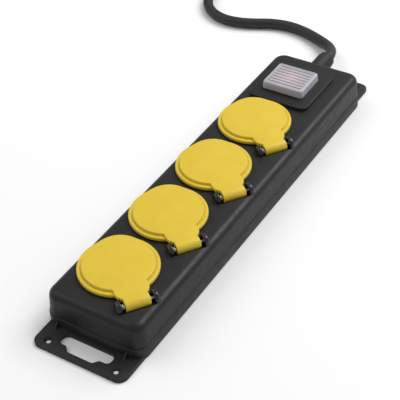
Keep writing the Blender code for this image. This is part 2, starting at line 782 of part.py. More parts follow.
def arm_outline(start):
    """The arm from the disc to the hinge, in two small steps on each side."""
    half = [
        (start, 13.6 * MM),
        (HINGE_U - 10.0 * MM, 13.6 * MM),
        (HINGE_U - 6.3 * MM, 13.0 * MM),
        (HINGE_U - 6.3 * MM, 11.6 * MM),
        (HINGE_U - 4.4 * MM, 11.4 * MM),
        (HINGE_U - 4.4 * MM, KNUCKLE_HALF),
        (HINGE_U, KNUCKLE_HALF),
    ]
    return half + [(u, -v) for u, v in reversed(half)]


def lid_seal_mesh():
    profile = [
        (SEAL_R[0], SEAL_Z[1]),
        (SEAL_R[1], SEAL_Z[1]),
        (SEAL_R[1], SEAL_Z[0]),
        (SEAL_R[0], SEAL_Z[0]),
        (SEAL_R[0], SEAL_Z[1]),
    ]
    return take_mesh(turned("seal", profile, 20))


def spring_mesh():
    """A two-turn torsion spring about the pin, with one leg to the pocket and one to the lid's arm."""
    wire, coil_r, turns, per_turn = 0.35 * MM, 2.2 * MM, 2, 8
    first_v, pitch = -12.1 * MM, 0.75 * MM
    points = [Vector((HINGE_U + coil_r, first_v, POCKET_FLOOR + 0.8 * MM))]
    for step in range(turns * per_turn + 1):
        angle = 2 * math.pi * step / per_turn
        v = first_v + pitch * step / per_turn
        points.append(Vector((HINGE_U + coil_r * math.cos(angle), v, HINGE_Z + coil_r * math.sin(angle))))
    last = points[-1]
    points.append(last + Vector((-0.7 * MM, 0.0, 0.9 * MM)))
    return take_mesh(tube("spring", points, wire, 1))


def hinge_pin_mesh():
    half = EAR_OUTER - 1.6 * MM
    return take_mesh(cylinder("pin", PIN_R, (HINGE_U, -half, HINGE_Z), (HINGE_U, half, HINGE_Z), 8))


def build_sockets():
    insert, clip = socket_insert_mesh(), earth_clip_mesh()
    lid, seal, spring, pin = lid_mesh(), lid_seal_mesh(), spring_mesh(), hinge_pin_mesh()
    for index in range(SOCKETS):
        number = index + 1
        socket_copy(f"socket_insert_{number}", insert, index, "black_insert")
        socket_copy(f"earth_clip_{number}", clip, index, "brass")
        hinged_copy(f"socket_lid_{number}", lid, index, "yellow_lid")
        hinged_copy(f"lid_seal_{number}", seal, index, "black_rubber")
        socket_copy(f"lid_spring_{number}", spring, index, "steel")
        socket_copy(f"hinge_pin_{number}", pin, index, "steel")


# ---------------------------------------------------------------- contacts and wiring

def pin_spot(index, side):
    return socket_frame(index) @ Vector((0.0, side * PIN_OFFSET, 0.0))


def build_power_bar(name, side):
    """A brass strip under all sockets, with a two-leaf fork at each plug pin."""
    spots = [pin_spot(index, side) for index in range(SOCKETS)]
    x = spots[0].x
    low = (x - BAR_HALF, spots[0].y - 11.0 * MM, BAR_Z)
    high = (x + BAR_HALF, spots[-1].y + 22.0 * MM, BAR_Z + STRIP_THICK)
    bar = box(name, low, high)
    for spot in spots:
        hole_low = (x - BAR_HOLE_HALF, spot.y - 3.0 * MM, BAR_Z - 2.0 * MM)
        hole_high = (x + BAR_HOLE_HALF, spot.y + 3.0 * MM, BAR_Z + 3.0 * MM)
        cut(bar, box("pin_hole", hole_low, hole_high))
        for leaf in (-1, 1):
            low_x, high_x = sorted((x + leaf * LEAF_INNER, x + leaf * LEAF_OUTER))
            leaf_low = (low_x, spot.y - 3.5 * MM, BAR_Z + STRIP_THICK / 2)
            join(bar, box("leaf", leaf_low, (high_x, spot.y + 3.5 * MM, FORK_TOP)))
    return finish(bar, "brass")


def build_earth_bar():
    last_y = FIRST_SOCKET_Y + (SOCKETS - 1) * SOCKET_PITCH
    low = (SOCKET_X - 2.1 * MM, FIRST_SOCKET_Y - 4.0 * MM, EARTH_BAR_Z)
    high = (SOCKET_X + 2.1 * MM, last_y + 20.0 * MM, EARTH_BAR_Z + STRIP_THICK)
    return finish(box("earth_busbar", low, high), "brass")


def build_core(name, route, slot):
    return finish(tube(name, smooth_route(route, 3), CORE_R, 1), slot)


def build_wiring():
    build_power_bar("live_busbar", 1)
    build_power_bar("neutral_busbar", -1)
    build_earth_bar()
    build_core(
        "live_core",
        (
            (-3.9, 154.6, 17.6), (-3.0, 153.1, 16.6), (1.0, 152.3, 13.2),
            (5.0, 149.3, 10.3), (6.0, 144.5, 10.0), (6.0, 141.0, 11.8),
        ),
        "core_brown",
    )
    build_core(
        "neutral_core",
        (
            (-9.7, 154.6, 17.6), (-10.6, 153.1, 16.6), (-13.0, 152.3, 13.2),
            (-15.5, 149.3, 10.3), (-16.0, 144.5, 10.0), (-15.5, 141.0, 11.8),
        ),
        "core_blue",
    )
    build_core(
        "earth_core",
        (
            (-6.8, 154.5, 13.0), (-6.8, 152.5, 12.2), (-7.5, 145.5, 9.0),
            (-7.5, 127.5, 9.0), (-6.9, 109.5, 12.6), (-6.8, 97.5, 13.2),
        ),
        "core_green_yellow",
    )
    build_core(
        "switched_live_core",
        (
            (2.0, 133.5, 12.0), (1.5, 127.5, 9.0), (0.0, 119.5, 6.6),
            (-1.2, 113.5, 5.0), (-1.2, 104.5, 5.0),
        ),
        "core_brown",
    )
    build_core(
        "switched_neutral_core",
        (
            (-16.0, 133.5, 12.0), (-15.5, 121.5, 8.0), (-13.5, 105.5, 5.2),
            (-12.4, 95.5, 5.0), (-12.4, 89.5, 5.0),
        ),
        "core_blue",
    )


# ---------------------------------------------------------------- switch

def switch_box(name, half, bottom, top):
    cx, cy = SWITCH_CENTRE
    return box(name, (cx - half[0], cy - half[1], bottom), (cx + half[0], cy + half[1], top))


def build_switch_body():
    body = switch_box("switch_body", SWITCH_HALF, SWITCH_BOTTOM, PLATFORM_TOP + 1.0 * MM)
    bezel = prism(
        "bezel", rounded_rectangle(SWITCH_CENTRE, BEZEL_HALF, 1.5 * MM, 2), PLATFORM_TOP + GAP, BEZEL_TOP
    )
    join(body, round_top(bezel, BEZEL_TOP, 0.6 * MM, 1))
    well_half = (ROCKER_HALF_X + 0.5 * MM, ROCKER_REACH + 1.0 * MM)
    cut(body, switch_box("well", well_half, 27.5 * MM, 60.0 * MM))
    return finish(body, "switch_black")


def build_rocker():
    """A hollow rocker, tipped to its rest side about the switch's own pivot."""
    reach = ROCKER_REACH
    outline = [
        (-reach, 5.4 * MM),
        (0.0, 4.7 * MM),
        (reach, 5.4 * MM),
        (reach - 0.3 * MM, -2.0 * MM),
        (-reach + 0.3 * MM, -2.0 * MM),
    ]
    rocker = prism("rocker", outline[::-1], -ROCKER_HALF_X, ROCKER_HALF_X)
    hollow = box(
        "hollow",
        (-reach + 1.5 * MM, -5.0 * MM, -ROCKER_HALF_X + 1.4 * MM),
        (reach - 1.5 * MM, 3.2 * MM, ROCKER_HALF_X - 1.4 * MM),
    )
    cut(rocker, hollow)
    stand = Matrix(((0, 0, 1, 0), (1, 0, 0, 0), (0, 1, 0, 0), (0, 0, 0, 1)))
    settle(rocker, stand)
    place = Matrix.Translation((*SWITCH_CENTRE, ROCKER_PIVOT_Z)) @ Matrix.Rotation(ROCKER_REST, 4, "X")
    rocker.matrix_world = place
    return finish(rocker, "rocker_red")


def build_lamp():
    """The small glow lamp that lies on the switch's floor under the rocker."""
    cx, cy = SWITCH_CENTRE
    start, end = (cx - 5.0 * MM, cy, 30.4 * MM), (cx + 5.0 * MM, cy, 30.4 * MM)
    lamp = cylinder("glow_lamp", 2.0 * MM, start, end, 12)
    bevel = lamp.modifiers.new("Round", "BEVEL")
    bevel.width = 0.9 * MM
    bevel.segments = 2
    bevel.limit_method = "ANGLE"
    bevel.angle_limit = math.radians(50.0)
    return finish(bake(lamp), "lamp_glass")


def build_boot():
    """The soft cap over the rocker, with a shallow ribbed field on top."""
    outer = rounded_rectangle(SWITCH_CENTRE, BOOT_HALF, BOOT_CORNER, 3)
    boot = prism("switch_boot", outer, PLATFORM_TOP + GAP, BOOT_TOP)
    round_top(boot, BOOT_TOP, 1.2 * MM, 2)
    inner_half = [h - BOOT_WALL for h in BOOT_HALF]
    cut(
        boot,
        prism(
            "inside",
            rounded_rectangle(SWITCH_CENTRE, inner_half, BOOT_CORNER - BOOT_WALL, 2),
            PLATFORM_TOP - 1.0 * MM,
            BOOT_TOP - BOOT_WALL,
        ),
    )
    return finish(boot, "boot_silicone")


# ---------------------------------------------------------------- mains lead

def build_gland():
    """A bend-relief sleeve whose neck sits in the casing's end wall."""
    wall_in, wall_out = GLAND_WALL
    bore = CORD_R + GAP
    profile = [
        (bore, GLAND_END),
        (GLAND_R - 1.8 * MM, GLAND_END),
        (GLAND_R - 0.5 * MM, GLAND_END - 1.6 * MM),
        (GLAND_R, GLAND_END - 5.0 * MM),
        (GLAND_R, wall_out),
        (6.6 * MM, wall_out),
        (6.6 * MM, wall_in),
        (GLAND_R, wall_in),
        (GLAND_R, GLAND_INNER_END),
        (bore, GLAND_INNER_END),
        (bore, GLAND_END),
    ]
    gland = turned("cord_gland", profile, 20)
    lay = Matrix.Translation((CORD_X, 0.0, CORD_Z)) @ Matrix.Rotation(-math.pi / 2, 4, "X")
    settle(gland, lay)
    return finish(gland, "black_rubber")


def build_sheath_end():
    inner = cylinder(
        "mains_cord_inner_end", CORD_R, (CORD_X, SHEATH_END, CORD_Z), (CORD_X, GLAND_END, CORD_Z), 16
    )
    return finish(inner, "cord_black")


def build_clamp():
    y0, y1 = CLAMP_Y
    low = (CORD_X - 12.0 * MM, y0, CORD_Z - CORD_R)
    high = (CORD_X + 12.0 * MM, y1, CORD_Z + CORD_R + 2.6 * MM)
    clamp = box("cord_clamp", low, high)
    channel_low = (CORD_X - CORD_R - GAP, y0 - 1.0 * MM, 0.0)
    channel_high = (CORD_X + CORD_R + GAP, y1 + 1.0 * MM, CORD_Z + CORD_R + GAP)
    cut(clamp, box("channel", channel_low, channel_high))
    y = (y0 + y1) / 2
    for x in clamp_screw_xs():
        cut(clamp, cylinder("bore", 1.75 * MM, (x, y, 0.0), (x, y, 40.0 * MM), 12))
    finish(clamp, "black_insert")
    top = high[2]
    for number, x in enumerate(clamp_screw_xs(), start=1):
        profile = [
            (0.0, top + 2.2 * MM),
            (2.2 * MM, top + 2.0 * MM),
            (2.8 * MM, top + 1.2 * MM),
            (2.8 * MM, top + GAP),
            (1.4 * MM, top + GAP),
            (1.4 * MM, 7.0 * MM),
            (0.0, 6.0 * MM),
        ]
        screw = turned(f"clamp_screw_{number}", profile, 8)
        settle(screw, Matrix.Translation((x, y, 0.0)))
        finish(screw, "steel")


def build_cord():
    finish(tube("mains_cord", smooth_route(CORD_ROUTE, 3), CORD_R, 3), "cord_black")
    finish(tube("mains_cord_plug_end", smooth_route(PLUG_ROUTE, 2), CORD_R, 3), "cord_black")


def build_coil():
    """The coiled stretch as one ring: two turns side by side and one on top of them."""
    half = 2 * CORD_R + 0.2 * MM
    low, middle, high = 1.2 * MM, 2 * CORD_R + 1.2 * MM, 20.6 * MM
    profile = [
        (COIL_TURN_R - 4.0 * MM, high),
        (COIL_TURN_R + 4.0 * MM, high),
        (COIL_TURN_R + half - 1.5 * MM, middle),
        (COIL_TURN_R + half, middle - 3.0 * MM),
        (COIL_TURN_R + half, low + 3.0 * MM),
        (COIL_TURN_R + half - 3.0 * MM, low),
        (COIL_TURN_R - half + 3.0 * MM, low),
        (COIL_TURN_R - half, low + 3.0 * MM),
        (COIL_TURN_R - half, middle - 3.0 * MM),
        (COIL_TURN_R - half + 1.5 * MM, middle),
        (COIL_TURN_R - 4.0 * MM, high),
    ]
    coil = turned("cord_coil", profile, 24)
    settle(coil, Matrix.Translation((*COIL_CENTRE, 0.0)))
    return finish(coil, "cord_black")


def build_tie():
    """A strap round the bundle of turns."""
    x, half = COIL_CENTRE[0] - COIL_TURN_R, 2 * CORD_R + 1.4 * MM
    shoulder, top = 2 * CORD_R + 1.6 * MM, 21.0 * MM
    outlines = []
    for grow in (0.8 * MM, 0.0):
        side, low = half + grow, 0.9 * MM - grow
        outlines.append([
            (x - side, low),
            (x + side, low),
            (x + side, shoulder + grow / 2),
            (x + 5.2 * MM + grow / 2, top + grow),
            (x - 5.2 * MM - grow / 2, top + grow),
            (x - side, shoulder + grow / 2),
        ])
    tie = prism("cord_tie", outlines[0], -TIE_HALF, TIE_HALF)
    cut(tie, prism("tie_hole", outlines[1], -TIE_HALF - 1.0 * MM, TIE_HALF + 1.0 * MM))
    settle(tie, Matrix(((1, 0, 0, 0), (0, 0, -1, COIL_CENTRE[1]), (0, 1, 0, 0), (0, 0, 0, 1))))
    return finish(tie, "black_rubber")


def build_plug():
    """A round rubber plug, its two pins and its bend relief, lying on the floor."""
    length = PLUG_LENGTH
    profile = [
        (0.0, length),
        (PLUG_R - 1.2 * MM, length),
        (PLUG_R, length - 1.2 * MM),
        (PLUG_R, length - 14.0 * MM),
        (PLUG_R - 2.5 * MM, length - 20.0 * MM),
        (PLUG_R - 3.5 * MM, length - 32.0 * MM),
        (PLUG_R - 6.5 * MM, length - 44.0 * MM),
        (9.0 * MM, length - 50.0 * MM),
        (6.6 * MM, 0.0),
        (0.0, 0.0),
    ]
    plug = turned("plug_body", profile, 24)
    lay = Matrix.Translation((*PLUG_REAR, PLUG_R + 0.2 * MM)) @ Matrix.Rotation(PLUG_TURN, 4, "Z")
    lay = lay @ Matrix.Rotation(math.pi / 2, 4, "Y")
    settle(plug, lay)
    finish(plug, "black_rubber")
    for number, offset in enumerate((-PIN_OFFSET, PIN_OFFSET), start=1):
        start, end = (0.0, offset, length + GAP), (0.0, offset, length + 19.0 * MM)
        pin = cylinder(f"plug_pin_{number}", 2.4 * MM, start, end, 12)
        settle(pin, lay)
        finish(pin, "steel")


# ---------------------------------------------------------------- all of it

clear_scene()
PARTS = new_collection("power_strip")
build_base()
build_casing_seal()
build_cover()
build_casing_screws()
build_sockets()
build_wiring()
build_switch_body()
build_rocker()
build_lamp()
build_boot()
build_gland()
build_sheath_end()
build_clamp()
build_cord()
build_coil()
build_tie()
build_plug()
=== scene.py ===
"""The looks of the power strip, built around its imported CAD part.

Lengths are metres; MM turns millimetres into metres.
"""

import json
import math

import bmesh
import bpy
from mathutils import Matrix, Vector


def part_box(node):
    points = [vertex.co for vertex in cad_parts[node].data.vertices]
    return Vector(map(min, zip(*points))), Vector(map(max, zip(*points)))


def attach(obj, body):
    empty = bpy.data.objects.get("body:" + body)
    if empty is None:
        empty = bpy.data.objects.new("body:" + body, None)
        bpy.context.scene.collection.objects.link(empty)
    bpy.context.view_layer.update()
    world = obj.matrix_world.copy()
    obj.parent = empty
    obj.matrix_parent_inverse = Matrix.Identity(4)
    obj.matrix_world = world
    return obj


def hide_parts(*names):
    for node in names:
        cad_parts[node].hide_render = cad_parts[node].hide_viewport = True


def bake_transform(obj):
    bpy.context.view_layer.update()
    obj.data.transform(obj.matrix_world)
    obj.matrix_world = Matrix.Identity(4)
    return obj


MM = 0.001
GAP = 0.3 * MM
TOUCH = 0.01 * MM

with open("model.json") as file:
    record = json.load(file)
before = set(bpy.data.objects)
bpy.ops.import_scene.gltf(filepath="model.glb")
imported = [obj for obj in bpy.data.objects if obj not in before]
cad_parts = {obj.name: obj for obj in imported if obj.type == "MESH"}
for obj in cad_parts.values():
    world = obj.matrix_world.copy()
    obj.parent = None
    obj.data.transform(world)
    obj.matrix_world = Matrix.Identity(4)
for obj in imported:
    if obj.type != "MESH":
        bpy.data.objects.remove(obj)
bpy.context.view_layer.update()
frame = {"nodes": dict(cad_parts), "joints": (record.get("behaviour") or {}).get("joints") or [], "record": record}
NODES = frame["nodes"]
ROOT = "casing"


# ---------------------------------------------------------------- camera

def make_camera():
    """The camera solved from the photo's casing edges, lid circles and near tab."""
    camera = bpy.data.objects.new("Camera", bpy.data.cameras.new("Camera"))
    bpy.context.scene.collection.objects.link(camera)
    right = Vector((0.85166, 0.52199, -0.04687))
    up = Vector((-0.30794, 0.57077, 0.76118))
    back = Vector((0.42408, -0.63383, 0.64685))
    turn = Matrix((right, up, back)).transposed().to_4x4()
    camera.matrix_world = Matrix.Translation((0.39368, -0.61929, 0.62421)) @ turn
    camera.data.sensor_width = 36.0
    camera.data.lens = 100.59
    camera.data.clip_start = 0.01
    camera.data.clip_end = 20.0
    bpy.context.scene.camera = camera


# ---------------------------------------------------------------- mesh helpers

def add_object(name, data):
    made = bpy.data.objects.new(name, data)
    bpy.context.scene.collection.objects.link(made)
    return made


def mesh_of(source):
    bpy.context.view_layer.update()
    graph = bpy.context.evaluated_depsgraph_get()
    mesh = bpy.data.meshes.new_from_object(source.evaluated_get(graph))
    bm = bmesh.new()
    bm.from_mesh(mesh)
    bmesh.ops.remove_doubles(bm, verts=bm.verts, dist=0.001 * MM)
    bm.to_mesh(mesh)
    bm.free()
    return mesh


def bake(source):
    mesh = mesh_of(source)
    source.modifiers.clear()
    source.data = mesh
    return source


def take(made):
    mesh = made.data
    bpy.data.objects.remove(made, do_unlink=True)
    return mesh


def gather(name, *pieces):
    """Several separate shapes in one mesh, as one Boolean operand."""
    bm = bmesh.new()
    for piece in pieces:
        bm.from_mesh(take(piece))
    mesh = bpy.data.meshes.new(name)
    bm.to_mesh(mesh)
    bm.free()
    return add_object(name, mesh)


def boolean(target, operation, *tools):
    for tool in tools:
        modifier = target.modifiers.new("Join", "BOOLEAN")
        modifier.object = tool
        modifier.operation = operation
        modifier.solver = "EXACT"
        bake(target)
        bpy.data.objects.remove(tool, do_unlink=True)
    return target


def cut(target, *tools):
    return boolean(target, "DIFFERENCE", *tools)


def join(target, *tools):
    return boolean(target, "UNION", *tools)


def settle(made, matrix):
    made.data.transform(matrix)
    return made


def box(name, low, high, edge=0.0, segments=3):
    mesh = bpy.data.meshes.new(name)
    bm = bmesh.new()
    bmesh.ops.create_cube(bm, size=1.0)
    size = Vector(high) - Vector(low)
    middle = (Vector(high) + Vector(low)) / 2
    place = Matrix.Translation(middle) @ Matrix.Diagonal((*size, 1.0))
    bmesh.ops.transform(bm, matrix=place, verts=bm.verts)
    if edge:
        edges = list(bm.edges)
        bmesh.ops.bevel(bm, geom=edges, offset=edge, segments=segments, profile=0.5, affect="EDGES")
    bm.to_mesh(mesh)
    bm.free()
    return add_object(name, mesh)


def cylinder(name, radius, start, end, sides=64, edge=0.0, radius_end=None):
    start, end = Vector(start), Vector(end)
    axis = end - start
    mesh = bpy.data.meshes.new(name)
    bm = bmesh.new()
    last = radius if radius_end is None else radius_end
    bmesh.ops.create_cone(
        bm, cap_ends=True, segments=sides, radius1=radius, radius2=last, depth=axis.length
    )
    if edge:
        rims = [e for e in bm.edges if e.calc_face_angle(0.0) > math.radians(60.0)]
        bmesh.ops.bevel(bm, geom=rims, offset=edge, segments=4, profile=0.5, affect="EDGES")
    turn = Vector((0.0, 0.0, 1.0)).rotation_difference(axis).to_matrix().to_4x4()
    bmesh.ops.transform(bm, matrix=Matrix.Translation((start + end) / 2) @ turn, verts=bm.verts)
    bm.to_mesh(mesh)
    bm.free()
    return add_object(name, mesh)


def fillet(points, radii, steps=6):
    """A closed outline with its corners rounded; radii has one radius per corner."""
    outline = []
    count = len(points)
    for index, (here, radius) in enumerate(zip(points, radii)):
        here = Vector(here)
        before, after = Vector(points[index - 1]) - here, Vector(points[(index + 1) % count]) - here
        angle = before.angle(after)
        if radius <= 0.0 or angle > math.radians(179.0):
            outline.append(tuple(here))
            continue
        reach = min(radius / math.tan(angle / 2), 0.49 * before.length, 0.49 * after.length)
        radius = reach * math.tan(angle / 2)
        first, last = here + before.normalized() * reach, here + after.normalized() * reach
        inward = (before.normalized() + after.normalized()).normalized()
        middle = here + inward * (radius / math.sin(angle / 2))
        start, end = first - middle, last - middle
        sweep = start.angle_signed(end)
        for step in range(steps + 1):
            turn = -sweep * step / steps
            x = start.x * math.cos(turn) - start.y * math.sin(turn)
            y = start.x * math.sin(turn) + start.y * math.cos(turn)
            outline.append((middle.x + x, middle.y + y))
    return outline


def rectangle(centre, half):
    (cx, cy), (hx, hy) = centre, half
    return [(cx + hx, cy + hy), (cx - hx, cy + hy), (cx - hx, cy - hy), (cx + hx, cy - hy)]


def rounded(centre, half, radius, steps=14):
    return fillet(rectangle(centre, half), [radius] * 4, steps)


def prism(name, outline, bottom, top):
    curve = bpy.data.curves.new(name, "CURVE")
    curve.dimensions = "2D"
    curve.fill_mode = "BOTH"
    curve.extrude = (top - bottom) / 2
    spline = curve.splines.new("POLY")
    spline.points.add(len(outline) - 1)
    for point, (x, y) in zip(spline.points, outline):
        point.co = (x, y, 0.0, 1.0)
    spline.use_cyclic_u = True
    holder = add_object(name + "_outline", curve)
    mesh = mesh_of(holder)
    bpy.data.objects.remove(holder, do_unlink=True)
    mesh.transform(Matrix.Translation((0.0, 0.0, (bottom + top) / 2)))
    return add_object(name, mesh)


def level(edge, height):
    """True if the whole edge lies at one height."""
    return all(abs(v.co.z - height) < TOUCH for v in edge.verts)


def round_rim(made, height, radius, steps=5):
    """Rounds the rim of a prism's flat face at one height."""
    bm = bmesh.new()
    bm.from_mesh(made.data)
    bmesh.ops.dissolve_limit(bm, angle_limit=math.radians(0.5), verts=bm.verts, edges=bm.edges)
    rims = [e for e in bm.edges if level(e, height) and e.calc_face_angle(0.0) > math.radians(20.0)]
    bmesh.ops.bevel(bm, geom=rims, offset=radius, segments=steps, profile=0.5, affect="EDGES")
    bm.to_mesh(made.data)
    bm.free()
    return made


def taper(made, height, centre, half, inset):
    """Draws the vertices at one height in towards the centre, as a mould's draft does."""
    for vertex in made.data.vertices:
        if abs(vertex.co.z - height) < TOUCH:
            for axis in (0, 1):
                shrink = (half[axis] - inset) / half[axis]
                vertex.co[axis] = centre[axis] + (vertex.co[axis] - centre[axis]) * shrink
    return made


def turned(name, profile, steps=96):
    """A profile of (radius, height) pairs turned once about Z."""
    mesh = bpy.data.meshes.new(name)
    mesh.from_pydata([(r, 0.0, z) for r, z in profile], [(i, i + 1) for i in range(len(profile) - 1)], [])
    made = add_object(name, mesh)
    screw = made.modifiers.new("Turn", "SCREW")
    screw.steps = steps
    screw.render_steps = steps
    screw.use_merge_vertices = True
    screw.merge_threshold = TOUCH
    return bake(made)


def profile_of(points, radii, steps=5):
    """An open profile with its corners rounded; two far corners close it while that is done."""
    (first_r, first_z), (last_r, last_z) = points[0], points[-1]
    closing = [(last_r - 1.0, last_z), (first_r - 1.0, first_z)]
    return fillet(points + closing, radii + [0.0, 0.0], steps)[:-2]


def tube(name, points, radius, resolution=6, cyclic=False):
    curve = bpy.data.curves.new(name, "CURVE")
    curve.dimensions = "3D"
    curve.bevel_depth = radius
    curve.bevel_resolution = resolution
    curve.use_fill_caps = True
    spline = curve.splines.new("POLY")
    spline.points.add(len(points) - 1)
    for point, place in zip(spline.points, points):
        point.co = (*place, 1.0)
    spline.use_cyclic_u = cyclic
    return add_object(name, curve)


def smooth_route(route, samples):
    """A smooth line through every point of a route given in millimetres."""
    knots = [Vector(point) * MM for point in route]
    knots = [knots[0] * 2 - knots[1]] + knots + [knots[-1] * 2 - knots[-2]]
    points = []
    for index in range(1, len(knots) - 2):
        a, b, c, d = knots[index - 1:index + 3]
        for sample in range(samples):
            t = sample / samples
            cubic = (2 * a - 5 * b + 4 * c - d) * t ** 2 + (3 * b - a - 3 * c + d) * t ** 3
            points.append(0.5 * ((2 * b) + (c - a) * t + cubic))
    points.append(knots[-2])
    return points


# ---------------------------------------------------------------- materials

def node(tree, kind, **values):
    made = tree.nodes.new(kind)
    for key, value in values.items():
        if key in made.inputs:
            made.inputs[key].default_value = value
        else:
            setattr(made, key, value)
    return made


def noise(tree, coords, scale, detail=3.0):
    made = node(tree, "ShaderNodeTexNoise", Scale=scale, Detail=detail)
    tree.links.new(coords, made.inputs["Vector"])
    return made.outputs["Fac"]


def spread(tree, source, low, high):
    """Stretches the middle of a noise over the range from low to high."""
    made = node(tree, "ShaderNodeMapRange")
    made.inputs["From Min"].default_value = 0.3
    made.inputs["From Max"].default_value = 0.7
    made.inputs["To Min"].default_value = low
    made.inputs["To Max"].default_value = high
    tree.links.new(source, made.inputs["Value"])
    return made.outputs["Result"]


def surface(name, colour, rough, metallic=0.0, grain=2200.0, depth=0.02, edge=0.35, mottle=0.08,
            stretch=(1.0, 1.0, 1.0), specular=0.5):
    """A finish with fine grain, uneven tone and gloss, and softly rounded edges."""
    made = bpy.data.materials.new(name)
    made.use_nodes = True
    tree = made.node_tree
    shader = tree.nodes["Principled BSDF"]
    place = node(tree, "ShaderNodeTexCoord").outputs["Object"]
    scaled = node(tree, "ShaderNodeMapping")
    scaled.inputs["Scale"].default_value = stretch
    tree.links.new(place, scaled.inputs["Vector"])
    place = scaled.outputs["Vector"]
    patches = noise(tree, place, 55.0)
    fine = noise(tree, place, grain, 2.0)
    blend = node(tree, "ShaderNodeMix", data_type="RGBA", blend_type="MULTIPLY")
    blend.inputs["Factor"].default_value = 1.0
    tone = node(tree, "ShaderNodeCombineColor")
    value = spread(tree, patches, 1.0 - mottle, 1.0 + mottle)
    for channel in ("Red", "Green", "Blue"):
        tree.links.new(value, tone.inputs[channel])
    mixing = [s for s in blend.inputs if s.type == "RGBA"]
    mixing[0].default_value = (*colour, 1.0)
    tree.links.new(tone.outputs["Color"], mixing[1])
    result = [s for s in blend.outputs if s.type == "RGBA"][0]
    tree.links.new(result, shader.inputs["Base Color"])
    gloss = noise(tree, place, 140.0)
    tree.links.new(spread(tree, gloss, rough - 0.06, rough + 0.06), shader.inputs["Roughness"])
    shader.inputs["Metallic"].default_value = metallic
    shader.inputs["Specular IOR Level"].default_value = specular
    soft = node(tree, "ShaderNodeBevel", samples=6, Radius=edge * MM)
    bump = node(tree, "ShaderNodeBump", Strength=0.6, Distance=depth * MM)
    tree.links.new(fine, bump.inputs["Height"])
    tree.links.new(soft.outputs["Normal"], bump.inputs["Normal"])
    tree.links.new(bump.outputs["Normal"], shader.inputs["Normal"])
    return made


GLOW_REACH = (17 * MM, 14 * MM, 9 * MM)


def boot_finish(centre):
    """Milky silicone with a pink glow from the lamp underneath."""
    made = surface("boot_silicone", (0.40, 0.385, 0.425), 0.38, grain=1500.0, depth=0.01, mottle=0.04)
    tree = made.node_tree
    shader = tree.nodes["Principled BSDF"]
    shader.inputs["Subsurface Weight"].default_value = 0.35
    shader.inputs["Subsurface Scale"].default_value = 3.0 * MM
    shader.inputs["Subsurface Radius"].default_value = (1.0, 0.6, 0.6)
    place = node(tree, "ShaderNodeTexCoord").outputs["Object"]
    shift = node(tree, "ShaderNodeMapping")
    shift.inputs["Location"].default_value = [-c / r for c, r in zip(centre, GLOW_REACH)]
    shift.inputs["Scale"].default_value = [1 / r for r in GLOW_REACH]
    tree.links.new(place, shift.inputs["Vector"])
    glow = node(tree, "ShaderNodeTexGradient", gradient_type="SPHERICAL")
    tree.links.new(shift.outputs["Vector"], glow.inputs["Vector"])
    ramp = node(tree, "ShaderNodeMapRange")
    ramp.inputs["From Min"].default_value = 0.0
    ramp.inputs["From Max"].default_value = 1.0
    ramp.inputs["To Min"].default_value = 0.0
    ramp.inputs["To Max"].default_value = 0.16
    tree.links.new(glow.outputs["Fac"], ramp.inputs["Value"])
    shader.inputs["Emission Color"].default_value = (1.0, 0.42, 0.36, 1.0)
    tree.links.new(ramp.outputs["Result"], shader.inputs["Emission Strength"])
    return made


LOOKS = {
    "black_shell": dict(colour=(0.011, 0.011, 0.012), rough=0.44, mottle=0.12, specular=0.28),
    # glossy hinge ears; their colour, darker than black_shell's, is painted shade
    "ear_gloss_painted_shade": dict(colour=(0.009, 0.009, 0.01), rough=0.2, depth=0.004, mottle=0.05),
    "black_base": dict(
        colour=(0.013, 0.013, 0.015), rough=0.52, grain=1500.0, depth=0.035, mottle=0.14, specular=0.32
    ),
    "yellow_lid": dict(colour=(0.66, 0.475, 0.03), rough=0.42, depth=0.008, mottle=0.03, specular=0.4),
    "black_insert": dict(colour=(0.018, 0.018, 0.019), rough=0.42, depth=0.012),
    "black_rubber": dict(colour=(0.012, 0.012, 0.013), rough=0.6, grain=1400.0, specular=0.35),
    "steel": dict(
        colour=(0.62, 0.62, 0.64), rough=0.28, metallic=1.0, grain=900.0, depth=0.006,
        stretch=(1.0, 1.0, 6.0), edge=0.15,
    ),
    "brass": dict(
        colour=(0.78, 0.57, 0.25), rough=0.33, metallic=1.0, grain=900.0, depth=0.006,
        stretch=(6.0, 1.0, 1.0), edge=0.15,
    ),
    "switch_black": dict(colour=(0.018, 0.018, 0.018), rough=0.35, depth=0.006),
    "rocker_red": dict(colour=(0.62, 0.05, 0.04), rough=0.3, depth=0.004, mottle=0.04),
    "lamp_glass": dict(colour=(0.9, 0.4, 0.25), rough=0.12, depth=0.002, mottle=0.03),
    "core_brown": dict(colour=(0.2, 0.08, 0.03), rough=0.5, depth=0.006),
    "core_blue": dict(colour=(0.03, 0.12, 0.5), rough=0.5, depth=0.006),
    "core_green_yellow": dict(colour=(0.35, 0.55, 0.05), rough=0.5, depth=0.006),
    "cord_black": dict(
        colour=(0.014, 0.014, 0.015), rough=0.52, grain=1100.0, depth=0.025, mottle=0.1, specular=0.4
    ),
}
FINISHES = {name: surface(name, **look) for name, look in LOOKS.items()}


def dress(made, slot, body=ROOT, angle=35.0):
    """Gives a finished piece its material, its shading and the body it moves with."""
    made.data.materials.clear()
    made.data.materials.append(FINISHES[slot])
    if made.type == "MESH":
        made.data.shade_smooth()
        made.data.set_sharp_from_angle(angle=math.radians(angle))
    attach(made, body)
    return made


# ---------------------------------------------------------------- sizes of the CAD part, read or repeated

